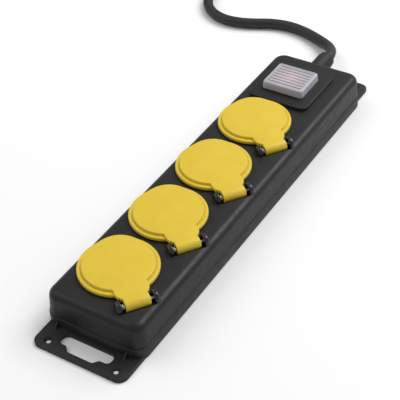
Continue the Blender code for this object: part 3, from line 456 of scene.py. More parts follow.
JOINTS = {joint["name"]: joint for joint in frame["joints"]}
HINGE_DIRECTION = Vector(JOINTS["lid_hinge_1"]["axis"])
HINGE_U = 41.4 * MM
HINGE_Z = JOINTS["lid_hinge_1"]["pos_m"][2]
U_AXIS = Vector((HINGE_DIRECTION.y, -HINGE_DIRECTION.x, 0.0))
cover_low, cover_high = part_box("top_cover")
base_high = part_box("base_tray")[1]
BODY_CENTRE = ((cover_low.x + cover_high.x) / 2, (cover_low.y + cover_high.y) / 2)
COVER_HALF = ((cover_high.x - cover_low.x) / 2, (cover_high.y - cover_low.y) / 2)
COVER_BOTTOM = base_high.z + GAP
COVER_TOP = 32.5 * MM
LID_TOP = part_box("socket_lid_1")[1].z
COLLAR_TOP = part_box("socket_insert_1")[1].z
boot_low, boot_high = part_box("switch_boot")
SWITCH_CENTRE = ((boot_low.x + boot_high.x) / 2, (boot_low.y + boot_high.y) / 2)
PLATFORM_TOP = boot_low.z - GAP
gland_low, gland_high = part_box("cord_gland")
GLAND_X = (gland_low.x + gland_high.x) / 2
GLAND_Z = (gland_low.z + gland_high.z) / 2
GLAND_R = (gland_high.x - gland_low.x) / 2
coil_low, coil_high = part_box("cord_coil")
COIL_CENTRE = ((coil_low.x + coil_high.x) / 2, (coil_low.y + coil_high.y) / 2)
SOCKETS = range(1, 5)


def socket_frame(number):
    """From a socket's own axes, u towards the hinge and v along its pin, to the world."""
    pivot = Vector(JOINTS[f"lid_hinge_{number}"]["pos_m"])
    place = pivot - U_AXIS * HINGE_U
    turn = Matrix((U_AXIS, HINGE_DIRECTION, Vector((0.0, 0.0, 1.0)))).transposed().to_4x4()
    return Matrix.Translation((place.x, place.y, 0.0)) @ turn


def in_socket(made, number):
    return settle(made, socket_frame(number))


def copy_to_socket(name, mesh, number, slot, body, *replaced):
    made = add_object(name, mesh.copy())
    in_socket(made, number)
    dress(made, slot, body)
    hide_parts(*replaced)
    return made


# ---------------------------------------------------------------- casing

CORNER, EDGE, DRAFT, WALL = 11.0 * MM, 6.0 * MM, 1.3 * MM, 2.4 * MM
PLATFORM_CENTRE, PLATFORM_HALF = (-4.0 * MM, 138.5 * MM), (29.6 * MM, 31.0 * MM)
PLATFORM_CORNER = 7.0 * MM
RAISED_FOOT = 31.0 * MM
COLLAR_R, MOUTH_R = 29.3 * MM, 22.7 * MM
POCKET_FLOOR = 28.0 * MM
POCKET_NEAR, POCKET_FAR = 5.9 * MM, 6.2 * MM
BLOCK_NEAR, BLOCK_FAR = 8.0 * MM, 8.3 * MM
SWITCH_HOLE_HALF = (15.1 * MM, 12.1 * MM)
GLAND_HOLE_R, GLAND_HOLE_Y = 7.0 * MM, (179.5 * MM, 195.5 * MM)
EAR_INNER, EAR_OUTER, EAR_R = 12.8 * MM, 17.0 * MM, 5.7 * MM
PIN_R = 1.25 * MM


def shell(name, half, bottom, top, corner, edge, steps):
    made = prism(name, rounded(BODY_CENTRE, half, corner, steps), bottom, top)
    taper(made, top, BODY_CENTRE, half, DRAFT)
    return round_rim(made, top, edge, max(3, steps // 2))


def ear(hand):
    """A rounded hinge ear that grows out of the cover."""
    low, high = sorted((hand * EAR_INNER, hand * EAR_OUTER))
    foot = POCKET_FLOOR - 1.0 * MM - HINGE_Z
    outline = [(EAR_R, foot), (EAR_R, EAR_R), (-EAR_R, EAR_R), (-EAR_R, foot)]
    made = prism("ear", fillet(outline, [0.0, EAR_R, EAR_R, 0.0], 16), low, high)
    round_rim(made, hand * EAR_INNER, 0.9 * MM, 4)
    round_rim(made, hand * EAR_OUTER, 2.2 * MM, 6)
    stand = Matrix(((1, 0, 0, HINGE_U), (0, 0, 1, 0), (0, 1, 0, HINGE_Z), (0, 0, 0, 1)))
    settle(made, stand)
    made.data.flip_normals()
    return made


def gloss_and_shade_ears(cover):
    """The hinge ears are left glossy by the mould; the rest of the cover is textured. The ears' colour is also a
    shade darker than the cover's: painted shade, standing in for the deep shadow round the hinge.
    """
    cover.data.materials.append(FINISHES["ear_gloss_painted_shade"])
    frames = [socket_frame(number).inverted() for number in SOCKETS]
    lowest = COVER_TOP - 1.5 * MM
    for face in cover.data.polygons:
        for to_socket in frames:
            u, v, z = to_socket @ face.center
            beside_lid = EAR_INNER - GAP < abs(v) < EAR_OUTER + GAP
            if beside_lid and z > lowest and math.hypot(u - HINGE_U, z - HINGE_Z) < EAR_R + GAP:
                face.material_index = 1


def gland_hole():
    start, end = [(GLAND_X, y, GLAND_Z) for y in GLAND_HOLE_Y]
    return cylinder("gland_hole", GLAND_HOLE_R, start, end, 48)


def cover_hollow():
    """The cover's inside, with a block of plastic left round each hinge pocket."""
    half = [h - WALL for h in COVER_HALF]
    hollow = shell("hollow", half, COVER_BOTTOM - 2 * MM, COVER_TOP - WALL, CORNER - WALL, EDGE - WALL, 6)
    blocks = []
    for number in SOCKETS:
        low = (HINGE_U - BLOCK_NEAR, -EAR_OUTER, POCKET_FLOOR - 2.0 * MM)
        high = (HINGE_U + BLOCK_FAR, EAR_OUTER, COVER_TOP + 2.0 * MM)
        blocks.append(in_socket(box("block", low, high), number))
    return cut(hollow, gather("blocks", *blocks))


def raised_parts():
    """What stands up from the cover: the switch platform, the socket collars and the hinge ears."""
    outline = rounded(PLATFORM_CENTRE, PLATFORM_HALF, PLATFORM_CORNER, 12)
    platform = prism("platform", outline, RAISED_FOOT, PLATFORM_TOP)
    round_rim(platform, PLATFORM_TOP, 0.9 * MM, 5)
    raised = [platform]
    for number in SOCKETS:
        collar = cylinder("collar", COLLAR_R, (0, 0, RAISED_FOOT), (0, 0, COLLAR_TOP), 96, 0.4 * MM)
        raised += [in_socket(piece, number) for piece in (collar, ear(-1), ear(1))]
    return gather("raised", *raised)


def cover_openings():
    """The socket mouths, the hinge pockets, the switch's hole and the gland's hole."""
    openings = []
    for number in SOCKETS:
        mouth = cylinder("mouth", MOUTH_R, (0, 0, 20.0 * MM), (0, 0, 40.0 * MM), 96)
        low = (HINGE_U - POCKET_NEAR, -EAR_INNER - 0.02 * MM, POCKET_FLOOR)
        high = (HINGE_U + POCKET_FAR, EAR_INNER + 0.02 * MM, COVER_TOP + 8.0 * MM)
        openings += [in_socket(piece, number) for piece in (mouth, box("pocket", low, high))]
    (x, y), (half_x, half_y) = SWITCH_CENTRE, SWITCH_HOLE_HALF
    low, high = (x - half_x, y - half_y, 20.0 * MM), (x + half_x, y + half_y, 50.0 * MM)
    openings.append(box("switch_hole", low, high))
    openings.append(gland_hole())
    return gather("openings", *openings)


def pin_bores():
    bores = []
    reach = EAR_OUTER - 1.2 * MM
    start, end = (HINGE_U, -reach, HINGE_Z), (HINGE_U, reach, HINGE_Z)
    for number in SOCKETS:
        bores.append(in_socket(cylinder("bore", PIN_R + GAP, start, end, 24), number))
    return gather("bores", *bores)


def build_cover():
    cover = shell("Top_cover", COVER_HALF, COVER_BOTTOM, COVER_TOP, CORNER, EDGE, 16)
    hollow = cover_hollow()
    join(cover, raised_parts())
    cut(cover, hollow)
    cut(cover, cover_openings())
    cut(cover, pin_bores())
    dress(cover, "black_shell")
    gloss_and_shade_ears(cover)
    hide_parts("top_cover")


TAB_CENTRE_X = {-1: 1.5 * MM, 1: -1.0 * MM}
TAB_HALF_WIDTH, TAB_THICK, TAB_ROOT = 42.4 * MM, 3.0 * MM, 22.0 * MM
SLOT_HALF, SLOT_NEAR, SLOT_FAR, SLOT_DEEP = 23.6 * MM, 9.8 * MM, 20.3 * MM, 5.2 * MM
TAB_HOLE_X, TAB_HOLE_INSET, TAB_HOLE_R, TAB_SINK_R = 31.2 * MM, 8.2 * MM, 2.2 * MM, 4.0 * MM
TAB_SINK_DEEP = 1.7 * MM
GUSSET_X = 32.0 * MM
BASE_HALF = (base_high.x, COVER_HALF[1] + 0.8 * MM)
BASE_CORNER, FLOOR_THICK = 12.0 * MM, 1.8 * MM
LEDGE_INSET, LEDGE_TOP, WELL_INSET = 2.0 * MM, 9.0 * MM, 4.4 * MM
SEAT_R, BORE_R = 4.6 * MM, 2.0 * MM


def slot_outline(hand):
    """The tab's hand slot: narrow at both ends, deeper in the middle."""
    reach, x = base_high.y, TAB_CENTRE_X[hand]
    inner, step, outer = reach - SLOT_FAR, reach - SLOT_NEAR, reach - SLOT_DEEP
    half = [
        (SLOT_HALF, inner, 5.2 * MM),
        (SLOT_HALF, step, 5.2 * MM),
        (15.2 * MM, step, 2.6 * MM),
        (11.6 * MM, outer, 3.0 * MM),
    ]
    whole = [(across, y, radius) for across, y, radius in half]
    whole += [(-across, y, radius) for across, y, radius in reversed(half)]
    outline = fillet([(x + across, y) for across, y, _ in whole], [radius for _, _, radius in whole], 8)
    return [(px, hand * py) for px, py in (outline if hand > 0 else outline[::-1])]


def tab_plate(hand):
    inner, outer = hand * (BASE_HALF[1] - TAB_ROOT), hand * base_high.y
    centre, half = (TAB_CENTRE_X[hand], (inner + outer) / 2), (TAB_HALF_WIDTH, abs(outer - inner) / 2)
    plate = prism("tab", rounded(centre, half, 8.0 * MM, 10), 0.0, TAB_THICK)
    return round_rim(plate, TAB_THICK, 0.7 * MM, 4)


def tab_holes(hand):
    """The through holes of a tab's two screws, and their countersinks."""
    holes, sinks = [], []
    for offset in (-TAB_HOLE_X, TAB_HOLE_X):
        x, y = TAB_CENTRE_X[hand] + offset, hand * (base_high.y - TAB_HOLE_INSET)
        holes.append(cylinder("hole", TAB_HOLE_R, (x, y, -1.0 * MM), (x, y, 5.0 * MM), 40))
        low, high = (x, y, TAB_THICK - TAB_SINK_DEEP), (x, y, TAB_THICK + GAP)
        sinks.append(cylinder("sink", TAB_HOLE_R, low, high, 40, radius_end=TAB_SINK_R))
    return holes, sinks


def gusset(hand, x):
    wall = hand * (BASE_HALF[1] - 1.0 * MM)
    points = [(wall, 2.5 * MM), (wall + hand * 6.0 * MM, 2.5 * MM), (wall, 8.0 * MM)]
    made = prism("gusset", points, -0.8 * MM, 0.8 * MM)
    return settle(made, Matrix(((0, 0, 1, x), (1, 0, 0, 0), (0, 1, 0, 0), (0, 0, 0, 1))))


def screw_spots():
    boxes = [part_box(name) for name in sorted(NODES) if name.startswith("casing_screw_")]
    return [((low.x + high.x) / 2, (low.y + high.y) / 2) for low, high in boxes]


def build_base():
    base = prism("Base_tray", rounded(BODY_CENTRE, BASE_HALF, BASE_CORNER, 16), 0.0, base_high.z)
    round_rim(base, 0.0, 1.0 * MM, 4)
    round_rim(base, base_high.z, 0.6 * MM, 3)
    ledge = [h - LEDGE_INSET for h in BASE_HALF]
    well = [h - WELL_INSET for h in BASE_HALF]
    ledge_outline = rounded(BODY_CENTRE, ledge, BASE_CORNER - LEDGE_INSET, 12)
    cut(base, prism("rim", ledge_outline, LEDGE_TOP, 20.0 * MM))
    well_outline = rounded(BODY_CENTRE, well, BASE_CORNER - WELL_INSET, 8)
    cut(base, prism("well", well_outline, FLOOR_THICK, 10.0 * MM))
    join(base, gather("tabs", tab_plate(-1), tab_plate(1)))
    join(base, gather("gussets", *[gusset(hand, x) for hand in (-1, 1) for x in (-GUSSET_X, GUSSET_X)]))
    spots = screw_spots()
    seats = [cylinder("seat", SEAT_R, (x, y, 0.5 * MM), (x, y, 4.0 * MM), 32) for x, y in spots]
    join(base, gather("seats", *seats))
    holes = [cylinder("bore", BORE_R, (x, y, -1.0 * MM), (x, y, 5.0 * MM), 32) for x, y in spots]
    sinks = [
        cylinder("sink", 2 * BORE_R, (x, y, -0.1 * MM), (x, y, 2.4 * MM), 32, radius_end=BORE_R)
        for x, y in spots
    ]
    for hand in (-1, 1):
        holes.append(prism("slot", slot_outline(hand), -2.0 * MM, 6.0 * MM))
        more_holes, more_sinks = tab_holes(hand)
        holes += more_holes
        sinks += more_sinks
    cut(base, gather("holes", *holes))
    cut(base, gather("sinks", *sinks))
    cut(base, gland_hole())
    dress(base, "black_base")
    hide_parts("base_tray")


# ---------------------------------------------------------------- sockets and lids

LID_R, DISC_R, FLANGE_TOP, LID_BOTTOM = 32.5 * MM, 28.8 * MM, 36.2 * MM, 33.3 * MM
KNUCKLE_R, KNUCKLE_HALF = 4.8 * MM, 9.9 * MM
LIP_TURN, LIP_R, LIP_CENTRE = math.radians(162.0), 20.0 * MM, 15.5 * MM
LIP_ROOT_R, LIP_BLEND = 30.8 * MM, 0.45 * MM
DISC_SINK = 0.25 * MM
SEAL_OUTER, SEAL_INNER, SEAL_TOP, LID_CEILING = 30.3 * MM, 27.2 * MM, 34.7 * MM, 35.6 * MM
ARM_HALF = 13.6 * MM
PIN_SPREAD = 9.5 * MM


def lip_reach(angle):
    """How far the flange reaches at an angle, with the finger lip blended in."""
    turn = (angle - LIP_TURN + math.pi) % (2 * math.pi) - math.pi
    across = LIP_CENTRE * math.sin(turn)
    reach = 0.0
    if math.cos(turn) > 0.0:
        reach = LIP_CENTRE * math.cos(turn) + math.sqrt(LIP_R ** 2 - across ** 2)
    return LID_R + LIP_BLEND * math.log(1.0 + math.exp((reach - LID_R) / LIP_BLEND))


def arm_outline():
    """The raised level of the lid: its disc and the arm that runs to the hinge."""
    start = math.asin(ARM_HALF / DISC_R)
    points = []
    radii = []
    steps = 96
    for step in range(steps + 1):
        angle = start + (2 * math.pi - 2 * start) * step / steps
        points.append((DISC_R * math.cos(angle), DISC_R * math.sin(angle)))
        radii.append(0.0)
    arm = [
        (HINGE_U - 9.6 * MM, ARM_HALF, 1.5 * MM),
        (HINGE_U - 6.3 * MM, 12.6 * MM, 1.0 * MM),
        (HINGE_U - 5.9 * MM, 11.4 * MM, 0.6 * MM),
        (HINGE_U - 4.2 * MM, 11.2 * MM, 0.8 * MM),
        (HINGE_U - 3.9 * MM, KNUCKLE_HALF, 0.5 * MM),
        (HINGE_U, KNUCKLE_HALF, 0.0),
    ]
    for u, v, radius in arm:
        points.append((u, -v))
        radii.append(radius)
    for u, v, radius in reversed(arm):
        points.append((u, v))
        radii.append(radius)
    return fillet(points, radii, 5)


def lid_mesh():
    profile = profile_of(
        [
            (0.0, FLANGE_TOP - DISC_SINK),
            (DISC_R + 0.9 * MM, FLANGE_TOP - DISC_SINK),
            (DISC_R + 1.3 * MM, FLANGE_TOP),
            (LID_R, FLANGE_TOP),
            (LID_R, LID_BOTTOM),
            (SEAL_OUTER, LID_BOTTOM),
            (SEAL_OUTER, SEAL_TOP),
            (SEAL_INNER, SEAL_TOP),
            (SEAL_INNER, LID_CEILING),
            (0.0, LID_CEILING),
        ],
        [0.0, 0.3 * MM, 0.4 * MM, 1.1 * MM, 0.35 * MM, 0.3 * MM, 0.5 * MM, 0.2 * MM, 0.0, 0.0],
    )
    lid = turned("lid", profile, 160)
    for vertex in lid.data.vertices:
        radius = math.hypot(vertex.co.x, vertex.co.y)
        if radius > LIP_ROOT_R:
            reach = lip_reach(math.atan2(vertex.co.y, vertex.co.x))
            share = (radius - LIP_ROOT_R) / (LID_R - LIP_ROOT_R)
            wanted = LIP_ROOT_R + share * (reach - LIP_ROOT_R)
            vertex.co.x *= wanted / radius
            vertex.co.y *= wanted / radius
    raised = prism("raised", arm_outline(), FLANGE_TOP - 0.8 * MM, LID_TOP)
    round_rim(raised, LID_TOP, 0.85 * MM, 5)
    join(lid, raised)
    start, end = (HINGE_U, -KNUCKLE_HALF, HINGE_Z), (HINGE_U, KNUCKLE_HALF, HINGE_Z)
    join(lid, cylinder("knuckle", KNUCKLE_R, start, end, 64, 0.35 * MM))
    cheek, through = KNUCKLE_HALF - 2.0 * MM, 20.0 * MM
    cut(
        lid,
        cylinder("curl", 3.2 * MM, (HINGE_U, -cheek, HINGE_Z), (HINGE_U, cheek, HINGE_Z), 32),
        box("mouth", (HINGE_U - 2.6 * MM, -cheek, 25.0 * MM), (HINGE_U + 2.4 * MM, cheek, HINGE_Z)),
        cylinder("bore", PIN_R + GAP, (HINGE_U, -through, HINGE_Z), (HINGE_U, through, HINGE_Z), 24),
    )
    return take(lid)


def insert_mesh():
    low, high = 17.5 * MM, COLLAR_TOP
    recess, floor, outer = 19.7 * MM, 21.2 * MM, 22.2 * MM
    flange = COVER_TOP - WALL - GAP
    profile = profile_of(
        [
            (0.0, floor), (recess, floor), (recess, high), (outer, high), (outer, flange),
            (26.5 * MM, flange), (26.5 * MM, flange - 2.2 * MM), (outer, flange - 2.2 * MM),
            (outer, low), (0.0, low),
        ],
        [0.0, 0.8 * MM, 0.7 * MM, 0.4 * MM, 0.0, 0.4 * MM, 0.4 * MM, 0.0, 0.4 * MM, 0.0],
    )
    made = turned("insert", profile, 96)
    for hand in (-1, 1):
        rib_low, rib_high = sorted((hand * (recess - 1.3 * MM), hand * (recess + 1.0 * MM)))
        rib_low, rib_high = (-2.4 * MM, rib_low, floor - 0.5 * MM), (2.4 * MM, rib_high, floor + 9.5 * MM)
        join(made, box("rib", rib_low, rib_high, 0.4 * MM))
    for hand in (-1, 1):
        slot_low, slot_high = sorted((hand * 17.4 * MM, hand * 19.4 * MM))
        spot = (0.0, hand * PIN_SPREAD)
        cut(
            made,
            cylinder("pin", 2.7 * MM, (*spot, 10.0 * MM), (*spot, 25.0 * MM), 40),
            cylinder("lead_in", 2.7 * MM, (*spot, floor - 0.8 * MM), (*spot, floor + GAP), 40, 0, 3.9 * MM),
            box("earth_slot", (slot_low, -3.0 * MM, 10.0 * MM), (slot_high, 3.0 * MM, 25.0 * MM)),
        )
    return take(made)


def spring_points():
    """Two turns beside the knuckle, from just above the pocket's floor up towards the lid."""
    coil_r, turns, per_turn = 2.2 * MM, 2, 24
    first_v, pitch = -12.1 * MM, 0.75 * MM
    points = [Vector((HINGE_U + coil_r, first_v, POCKET_FLOOR + 0.6 * MM))]
    for step in range(turns * per_turn + 1):
        angle = 2 * math.pi * step / per_turn
        u, z = HINGE_U + coil_r * math.cos(angle), HINGE_Z + coil_r * math.sin(angle)
        points.append(Vector((u, first_v + pitch * step / per_turn, z)))
    points.append(points[-1] + Vector((-0.5 * MM, 0.0, 0.9 * MM)))
    return points


def build_sockets():
    lid, insert = lid_mesh(), insert_mesh()
    spring_holder = tube("spring", spring_points(), 0.35 * MM, 3)
    spring = mesh_of(spring_holder)
    bpy.data.objects.remove(spring_holder, do_unlink=True)
    reach = EAR_OUTER - 1.6 * MM
    pin = take(cylinder("pin", PIN_R, (HINGE_U, -reach, HINGE_Z), (HINGE_U, reach, HINGE_Z), 32, 0.3 * MM))
    for number in SOCKETS:
        for name, mesh, slot, body in (
            ("Lid", lid, "yellow_lid", f"lid_{number}"),
            ("Socket_insert", insert, "black_insert", ROOT),
            ("Lid_spring", spring, "steel", ROOT),
            ("Hinge_pin", pin, "steel", ROOT),
        ):
            node_name = "socket_lid" if name == "Lid" else name.lower()
            copy_to_socket(f"{name}_{number}", mesh, number, slot, body, f"{node_name}_{number}")


# ---------------------------------------------------------------- switch boot

def build_boot():
    """The soft cap over the switch, with its ribbed top."""
    half = ((boot_high.x - boot_low.x) / 2, (boot_high.y - boot_low.y) / 2)
    top = boot_high.z
    boot = prism("Switch_boot", rounded(SWITCH_CENTRE, half, 3.2 * MM, 10), boot_low.z, top)
    taper(boot, top, SWITCH_CENTRE, half, 0.6 * MM)
    round_rim(boot, top, 1.5 * MM, 6)
    inner = [h - 1.5 * MM for h in half]
    inside = rounded(SWITCH_CENTRE, inner, 1.8 * MM, 5)
    cut(boot, prism("inside", inside, boot_low.z - 1.0 * MM, top - 1.7 * MM))
    field = (half[0] - 2.9 * MM, half[1] - 2.6 * MM)
    cut(boot, prism("field", rounded(SWITCH_CENTRE, field, 1.5 * MM, 5), top - 0.3 * MM, top + 1.0 * MM))
    grooves = []
    count, pitch = 7, 4.2 * MM
    for index in range(count):
        y = SWITCH_CENTRE[1] + (index - (count - 1) / 2) * pitch
        centre, size = (SWITCH_CENTRE[0], y), (field[0] - 1.0 * MM, 0.62 * MM)
        outline = rounded(centre, size, 0.55 * MM, 4)
        grooves.append(prism("groove", outline, top - 1.2 * MM, top + 1.0 * MM))
    cut(boot, gather("grooves", *grooves))
    FINISHES["boot_silicone"] = boot_finish((*SWITCH_CENTRE, top - 1.0 * MM))
    boot.data.materials.clear()
    boot.data.materials.append(FINISHES["boot_silicone"])
    boot.data.shade_smooth()
    boot.data.set_sharp_from_angle(angle=math.radians(35.0))
    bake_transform(boot)
    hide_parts("switch_boot")


# ---------------------------------------------------------------- mains lead

CORD_R = 5.25 * MM
CORD_ROUTE = (
    (-6.8, 219.5, 16.5),
    (-6.95, 222.5, 16.4),
    (-8.6, 229.0, 15.2),
    (-12.8, 238.3, 12.4),
    (-20.0, 247.1, 9.6),
    (-30.0, 254.7, 7.3),
    (-42.5, 261.3, 6.0),
    (-58.0, 266.8, 5.4),
    (-76.0, 268.9, 5.4),
    (-94.5, 265.3, 5.4),
    (-111.0, 257.7, 5.4),
    (-127.0, 252.1, 5.4),
    (-144.0, 250.9, 5.4),
    (-160.5, 256.5, 5.4),
    (-173.5, 268.0, 5.4),
    (-181.8, 284.5, 5.4),
    (-184.4, 304.5, 5.4),
    (-182.0, 326.2, 5.4),
)
FLOOR_Z = 5.4 * MM
OUTER_TURN, INNER_TURN, TOP_TURN = 62.9 * MM, 52.1 * MM, 57.5 * MM
FLOOR_TURN_Z, TOP_TURN_Z, OVER_Z = 6.0 * MM, 15.2 * MM, 16.8 * MM
COIL_LAST, COIL_STEPS = 1035.0, 150
PLUG_REAR, PLUG_TURN = Vector((-150.3 * MM, 359.0 * MM, 18.7 * MM)), math.radians(45.0)
PLUG_LENGTH, PLUG_R = 84.0 * MM, 18.5 * MM
TAIL_HEIGHTS = (15.6, 16.6, 16.9, 17.0, 17.5, 18.3, 18.7)
GLAND_WALL_OUT, GLAND_WALL_IN = 189.2 * MM, 184.1 * MM
GLAND_NECK_R, GLAND_INNER_R = 6.6 * MM, 8.4 * MM


def ramp(value, start, end):
    """Rises gently from 0 at the start to 1 at the end."""
    share = min(1.0, max(0.0, (value - start) / (end - start)))
    return share * share * (3 - 2 * share)


def coil_point(degrees, entry_r):
    """A point of the coil: an outer and an inner turn on the floor, and a third on top of them."""
    radius = entry_r + (OUTER_TURN - entry_r) * ramp(degrees, -7.0, 75.0)
    radius += (INNER_TURN - OUTER_TURN) * ramp(degrees, 346.0, 424.0)
    radius += (TOP_TURN - INNER_TURN) * ramp(degrees, 716.0, 790.0)
    height = FLOOR_Z + (FLOOR_TURN_Z - FLOOR_Z) * ramp(degrees, -7.0, 40.0)
    height += (OVER_Z - FLOOR_TURN_Z) * ramp(degrees, 650.0, 728.0)
    height += (TOP_TURN_Z - OVER_Z) * ramp(degrees, 790.0, 860.0)
    angle = math.radians(degrees)
    x, y = COIL_CENTRE[0] + radius * math.cos(angle), COIL_CENTRE[1] + radius * math.sin(angle)
    return Vector((x, y, height))


def lead_points():
    """The lead's centreline: the route on the floor, the coil, and the tail that runs to the plug."""
    points = smooth_route(CORD_ROUTE, 5)
    entry = points[-1] - Vector((*COIL_CENTRE, 0.0))
    entry_r = math.hypot(entry.x, entry.y)
    first = math.degrees(math.atan2(entry.y, entry.x))
    for step in range(1, COIL_STEPS + 1):
        points.append(coil_point(first + (COIL_LAST - first) * step / COIL_STEPS, entry_r))
    end = points[-1]
    for step, height in enumerate(TAIL_HEIGHTS, start=1):
        place = end.lerp(PLUG_REAR, step / len(TAIL_HEIGHTS))
        points.append(Vector((place.x, place.y, height * MM)))
    return points


def build_gland():
    """The bend relief: a ribless sleeve with a neck in the wall and a collar inside it."""
    end, inner_end = gland_high.y, gland_low.y
    bore = CORD_R + 0.12 * MM
    points = [
        (bore, end), (GLAND_R - 1.9 * MM, end), (GLAND_R - 0.6 * MM, end - 2.0 * MM),
        (GLAND_R, end - 6.0 * MM), (GLAND_R, GLAND_WALL_OUT), (GLAND_NECK_R, GLAND_WALL_OUT),
        (GLAND_NECK_R, GLAND_WALL_IN), (GLAND_INNER_R, GLAND_WALL_IN), (GLAND_INNER_R, inner_end),
        (bore, inner_end),
    ]
    rounds = [radius * MM for radius in (0.4, 1.0, 1.5, 1.5, 0.5, 0.0, 0.0, 0.3, 0.3, 0.0)]
    profile = fillet(points, rounds, 5)
    gland = turned("Cord_gland", profile + [profile[0]], 72)
    lay = Matrix.Translation((GLAND_X, 0.0, GLAND_Z)) @ Matrix.Rotation(-math.pi / 2, 4, "X")
    settle(gland, lay)
    dress(gland, "black_rubber")
    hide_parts("cord_gland")
    return gland


def tie_outline(x, half, low, shoulder, top_half, top, rounds):
    """The strap's section: flat below, with shoulders over the two lower turns."""
    corners = [
        (x - half, low), (x + half, low), (x + half, shoulder),
        (x + top_half, top), (x - top_half, top), (x - half, shoulder),
    ]
    return fillet(corners, rounds, 8)


def build_tie():
    """A hook-and-loop strap round the bundle of turns."""
    low, thick, shoulder, top_half = 0.05 * MM, 0.7 * MM, 9.5 * MM, 5.6 * MM
    x = COIL_CENTRE[0] - TOP_TURN
    half = 2 * CORD_R + 0.9 * MM
    top = TOP_TURN_Z + CORD_R + 0.9 * MM
    rounds = [4.6 * MM, 4.6 * MM, 5.0 * MM, 5.0 * MM, 5.0 * MM, 5.0 * MM]
    outer = tie_outline(x, half, low, shoulder, top_half, top, rounds)
    inner = tie_outline(
        x, half - thick, low + thick, shoulder - 0.2 * MM, top_half - 0.4 * MM, top - thick,
        [radius - 0.5 * MM for radius in rounds],
    )
    tie = prism("Cord_tie", outer, -6.0 * MM, 6.0 * MM)
    cut(tie, prism("hole", inner, -8.0 * MM, 8.0 * MM))
    stand = Matrix(((1, 0, 0, 0), (0, 0, -1, COIL_CENTRE[1]), (0, 1, 0, 0), (0, 0, 0, 1)))
    settle(tie, stand)
    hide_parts("cord_tie")
    return dress(tie, "black_rubber")


def plug_profile():
    """The plug's outline from its face, past the grip and the waist, down to the bend relief."""
    points = [
        (0.0, PLUG_LENGTH), (PLUG_R - 1.2 * MM, PLUG_LENGTH), (PLUG_R, PLUG_LENGTH - 1.2 * MM),
        (PLUG_R, PLUG_LENGTH - 14.0 * MM), (PLUG_R - 2.5 * MM, PLUG_LENGTH - 20.0 * MM),
        (PLUG_R - 3.5 * MM, PLUG_LENGTH - 30.0 * MM), (PLUG_R - 6.5 * MM, PLUG_LENGTH - 44.0 * MM),
        (9.0 * MM, PLUG_LENGTH - 50.0 * MM), (6.6 * MM, 0.3 * MM), (0.0, 0.3 * MM),
    ]
    radii = [0.0, 0.8 * MM, 0.8 * MM, 3.0 * MM, 6.0 * MM, 8.0 * MM, 5.0 * MM, 4.0 * MM, 0.6 * MM, 0.0]
    return profile_of(points, radii, 6)


def relief_grooves():
    """Rings cut into the bend relief, each left whole at two bridges."""
    count, pitch, wide, inner, outer = 7, 4.2 * MM, 1.5 * MM, 6.0 * MM, 12.0 * MM
    grooves = []
    for index in range(count):
        z = 5.0 * MM + index * pitch
        top = z + wide
        ring = turned("groove", [(outer, top), (outer, z), (inner, z), (inner, top), (outer, top)], 48)
        low, high = (-20.0 * MM, -3.0 * MM, z - 1.0 * MM), (20.0 * MM, 3.0 * MM, z + 3.0 * MM)
        grooves.append(cut(ring, box("bridge", low, high)))
    return gather("grooves", *grooves)


def grip_flutes():
    count, reach = 14, PLUG_R + 0.4 * MM
    flutes = []
    for index in range(count):
        angle = 2 * math.pi * index / count
        place = (math.cos(angle) * reach, math.sin(angle) * reach)
        start, end = (*place, PLUG_LENGTH - 16.0 * MM), (*place, PLUG_LENGTH - 5.0 * MM)
        flutes.append(cylinder("grip", 1.2 * MM, start, end, 16, 0.3 * MM))
    return gather("grips", *flutes)


def plug_pin(number, offset):
    start, end = (0.0, offset, PLUG_LENGTH + GAP), (0.0, offset, PLUG_LENGTH + 19.0 * MM)
    return cylinder(f"Plug_pin_{number}", 2.4 * MM, start, end, 40, 0.9 * MM)


def plug_earth_strip(number, hand):
    low_x, high_x = sorted((hand * (PLUG_R - 1.3 * MM), hand * (PLUG_R + 0.15 * MM)))
    low, high = (low_x, -2.6 * MM, PLUG_LENGTH - 13.0 * MM), (high_x, 2.6 * MM, PLUG_LENGTH + 0.15 * MM)
    return box(f"Plug_earth_strip_{number}", low, high, 0.25 * MM)


def build_plug():
    turn = Matrix.Translation(PLUG_REAR) @ Matrix.Rotation(PLUG_TURN, 4, "Z")
    turn = turn @ Matrix.Rotation(math.pi / 2, 4, "Y")
    plug = turned("Plug_body", plug_profile(), 72)
    cut(plug, relief_grooves())
    cut(plug, grip_flutes())
    settle(plug, turn)
    dress(plug, "black_rubber")
    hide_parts("plug_body")
    with_it = [plug]
    for number, hand in enumerate((-1, 1), start=1):
        pin = settle(plug_pin(number, hand * PIN_SPREAD), turn)
        dress(pin, "steel")
        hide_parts(f"plug_pin_{number}")
        with_it.append(pin)
    for number, hand in enumerate((-1, 1), start=1):
        strip = settle(plug_earth_strip(number, hand), turn)
        with_it.append(dress(strip, "steel"))
    return with_it


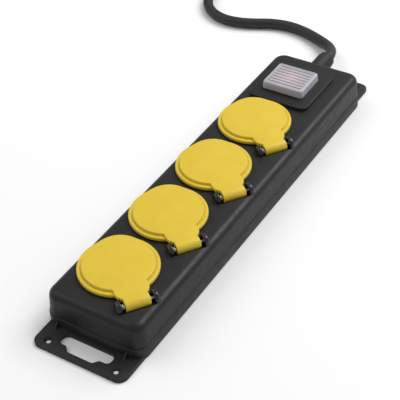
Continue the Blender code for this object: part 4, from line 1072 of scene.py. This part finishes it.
def build_lead():
    gland = build_gland()
    pieces = [gland, build_tie()] + build_plug()
    points = lead_points()
    lead = tube("Mains_lead", points, CORD_R, 7)
    lead.data.materials.append(FINISHES["cord_black"])
    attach(lead, ROOT)
    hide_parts("mains_cord", "cord_coil", "mains_cord_plug_end")


# ---------------------------------------------------------------- pieces kept from the CAD part

def dress_kept():
    """Gives the CAD pieces that are shown as they are their materials."""
    slots = {part["node"]: part["material_slot"] for part in frame["record"]["subparts"]}
    for name, kept in NODES.items():
        if kept.hide_render:
            continue
        kept.data.materials.clear()
        kept.data.materials.append(FINISHES[slots[name]])
        kept.data.shade_smooth()
        kept.data.set_sharp_from_angle(angle=math.radians(35.0))


# ---------------------------------------------------------------- studio

LIGHTS = (
    ("Key", (0.6, 1.3, 1.7), 1.5, 40.0),
    ("Fill", (-1.2, -0.4, 1.5), 1.4, 8.0),
)


def build_studio():
    """A pale plain floor, an even white sky and two square lamps."""
    floor = box("Floor", (-6.0, -6.0, -0.02), (6.0, 6.0, 0.0))
    finish = bpy.data.materials.new("floor")
    finish.use_nodes = True
    tree = finish.node_tree
    shader = tree.nodes["Principled BSDF"]
    shader.inputs["Base Color"].default_value = (0.86, 0.86, 0.86, 1.0)
    shader.inputs["Roughness"].default_value = 0.7
    floor.data.materials.append(finish)
    world = bpy.data.worlds.new("Studio")
    bpy.context.scene.world = world
    world.use_nodes = True
    sky = world.node_tree.nodes["Background"]
    sky.inputs["Color"].default_value = (1.0, 1.0, 1.0, 1.0)
    sky.inputs["Strength"].default_value = 0.5
    for name, place, size, power in LIGHTS:
        light = bpy.data.lights.new(name, "AREA")
        light.shape = "SQUARE"
        light.size = size
        light.energy = power
        lamp = add_object(name, light)
        lamp.location = place
        aim = Vector((0.0, 0.0, 0.02)) - Vector(place)
        lamp.rotation_euler = aim.to_track_quat("-Z", "Y").to_euler()
    bpy.context.scene.view_settings.view_transform = "Standard"


make_camera()
build_lead()
build_base()
build_cover()
build_sockets()
build_boot()
dress_kept()
build_studio()
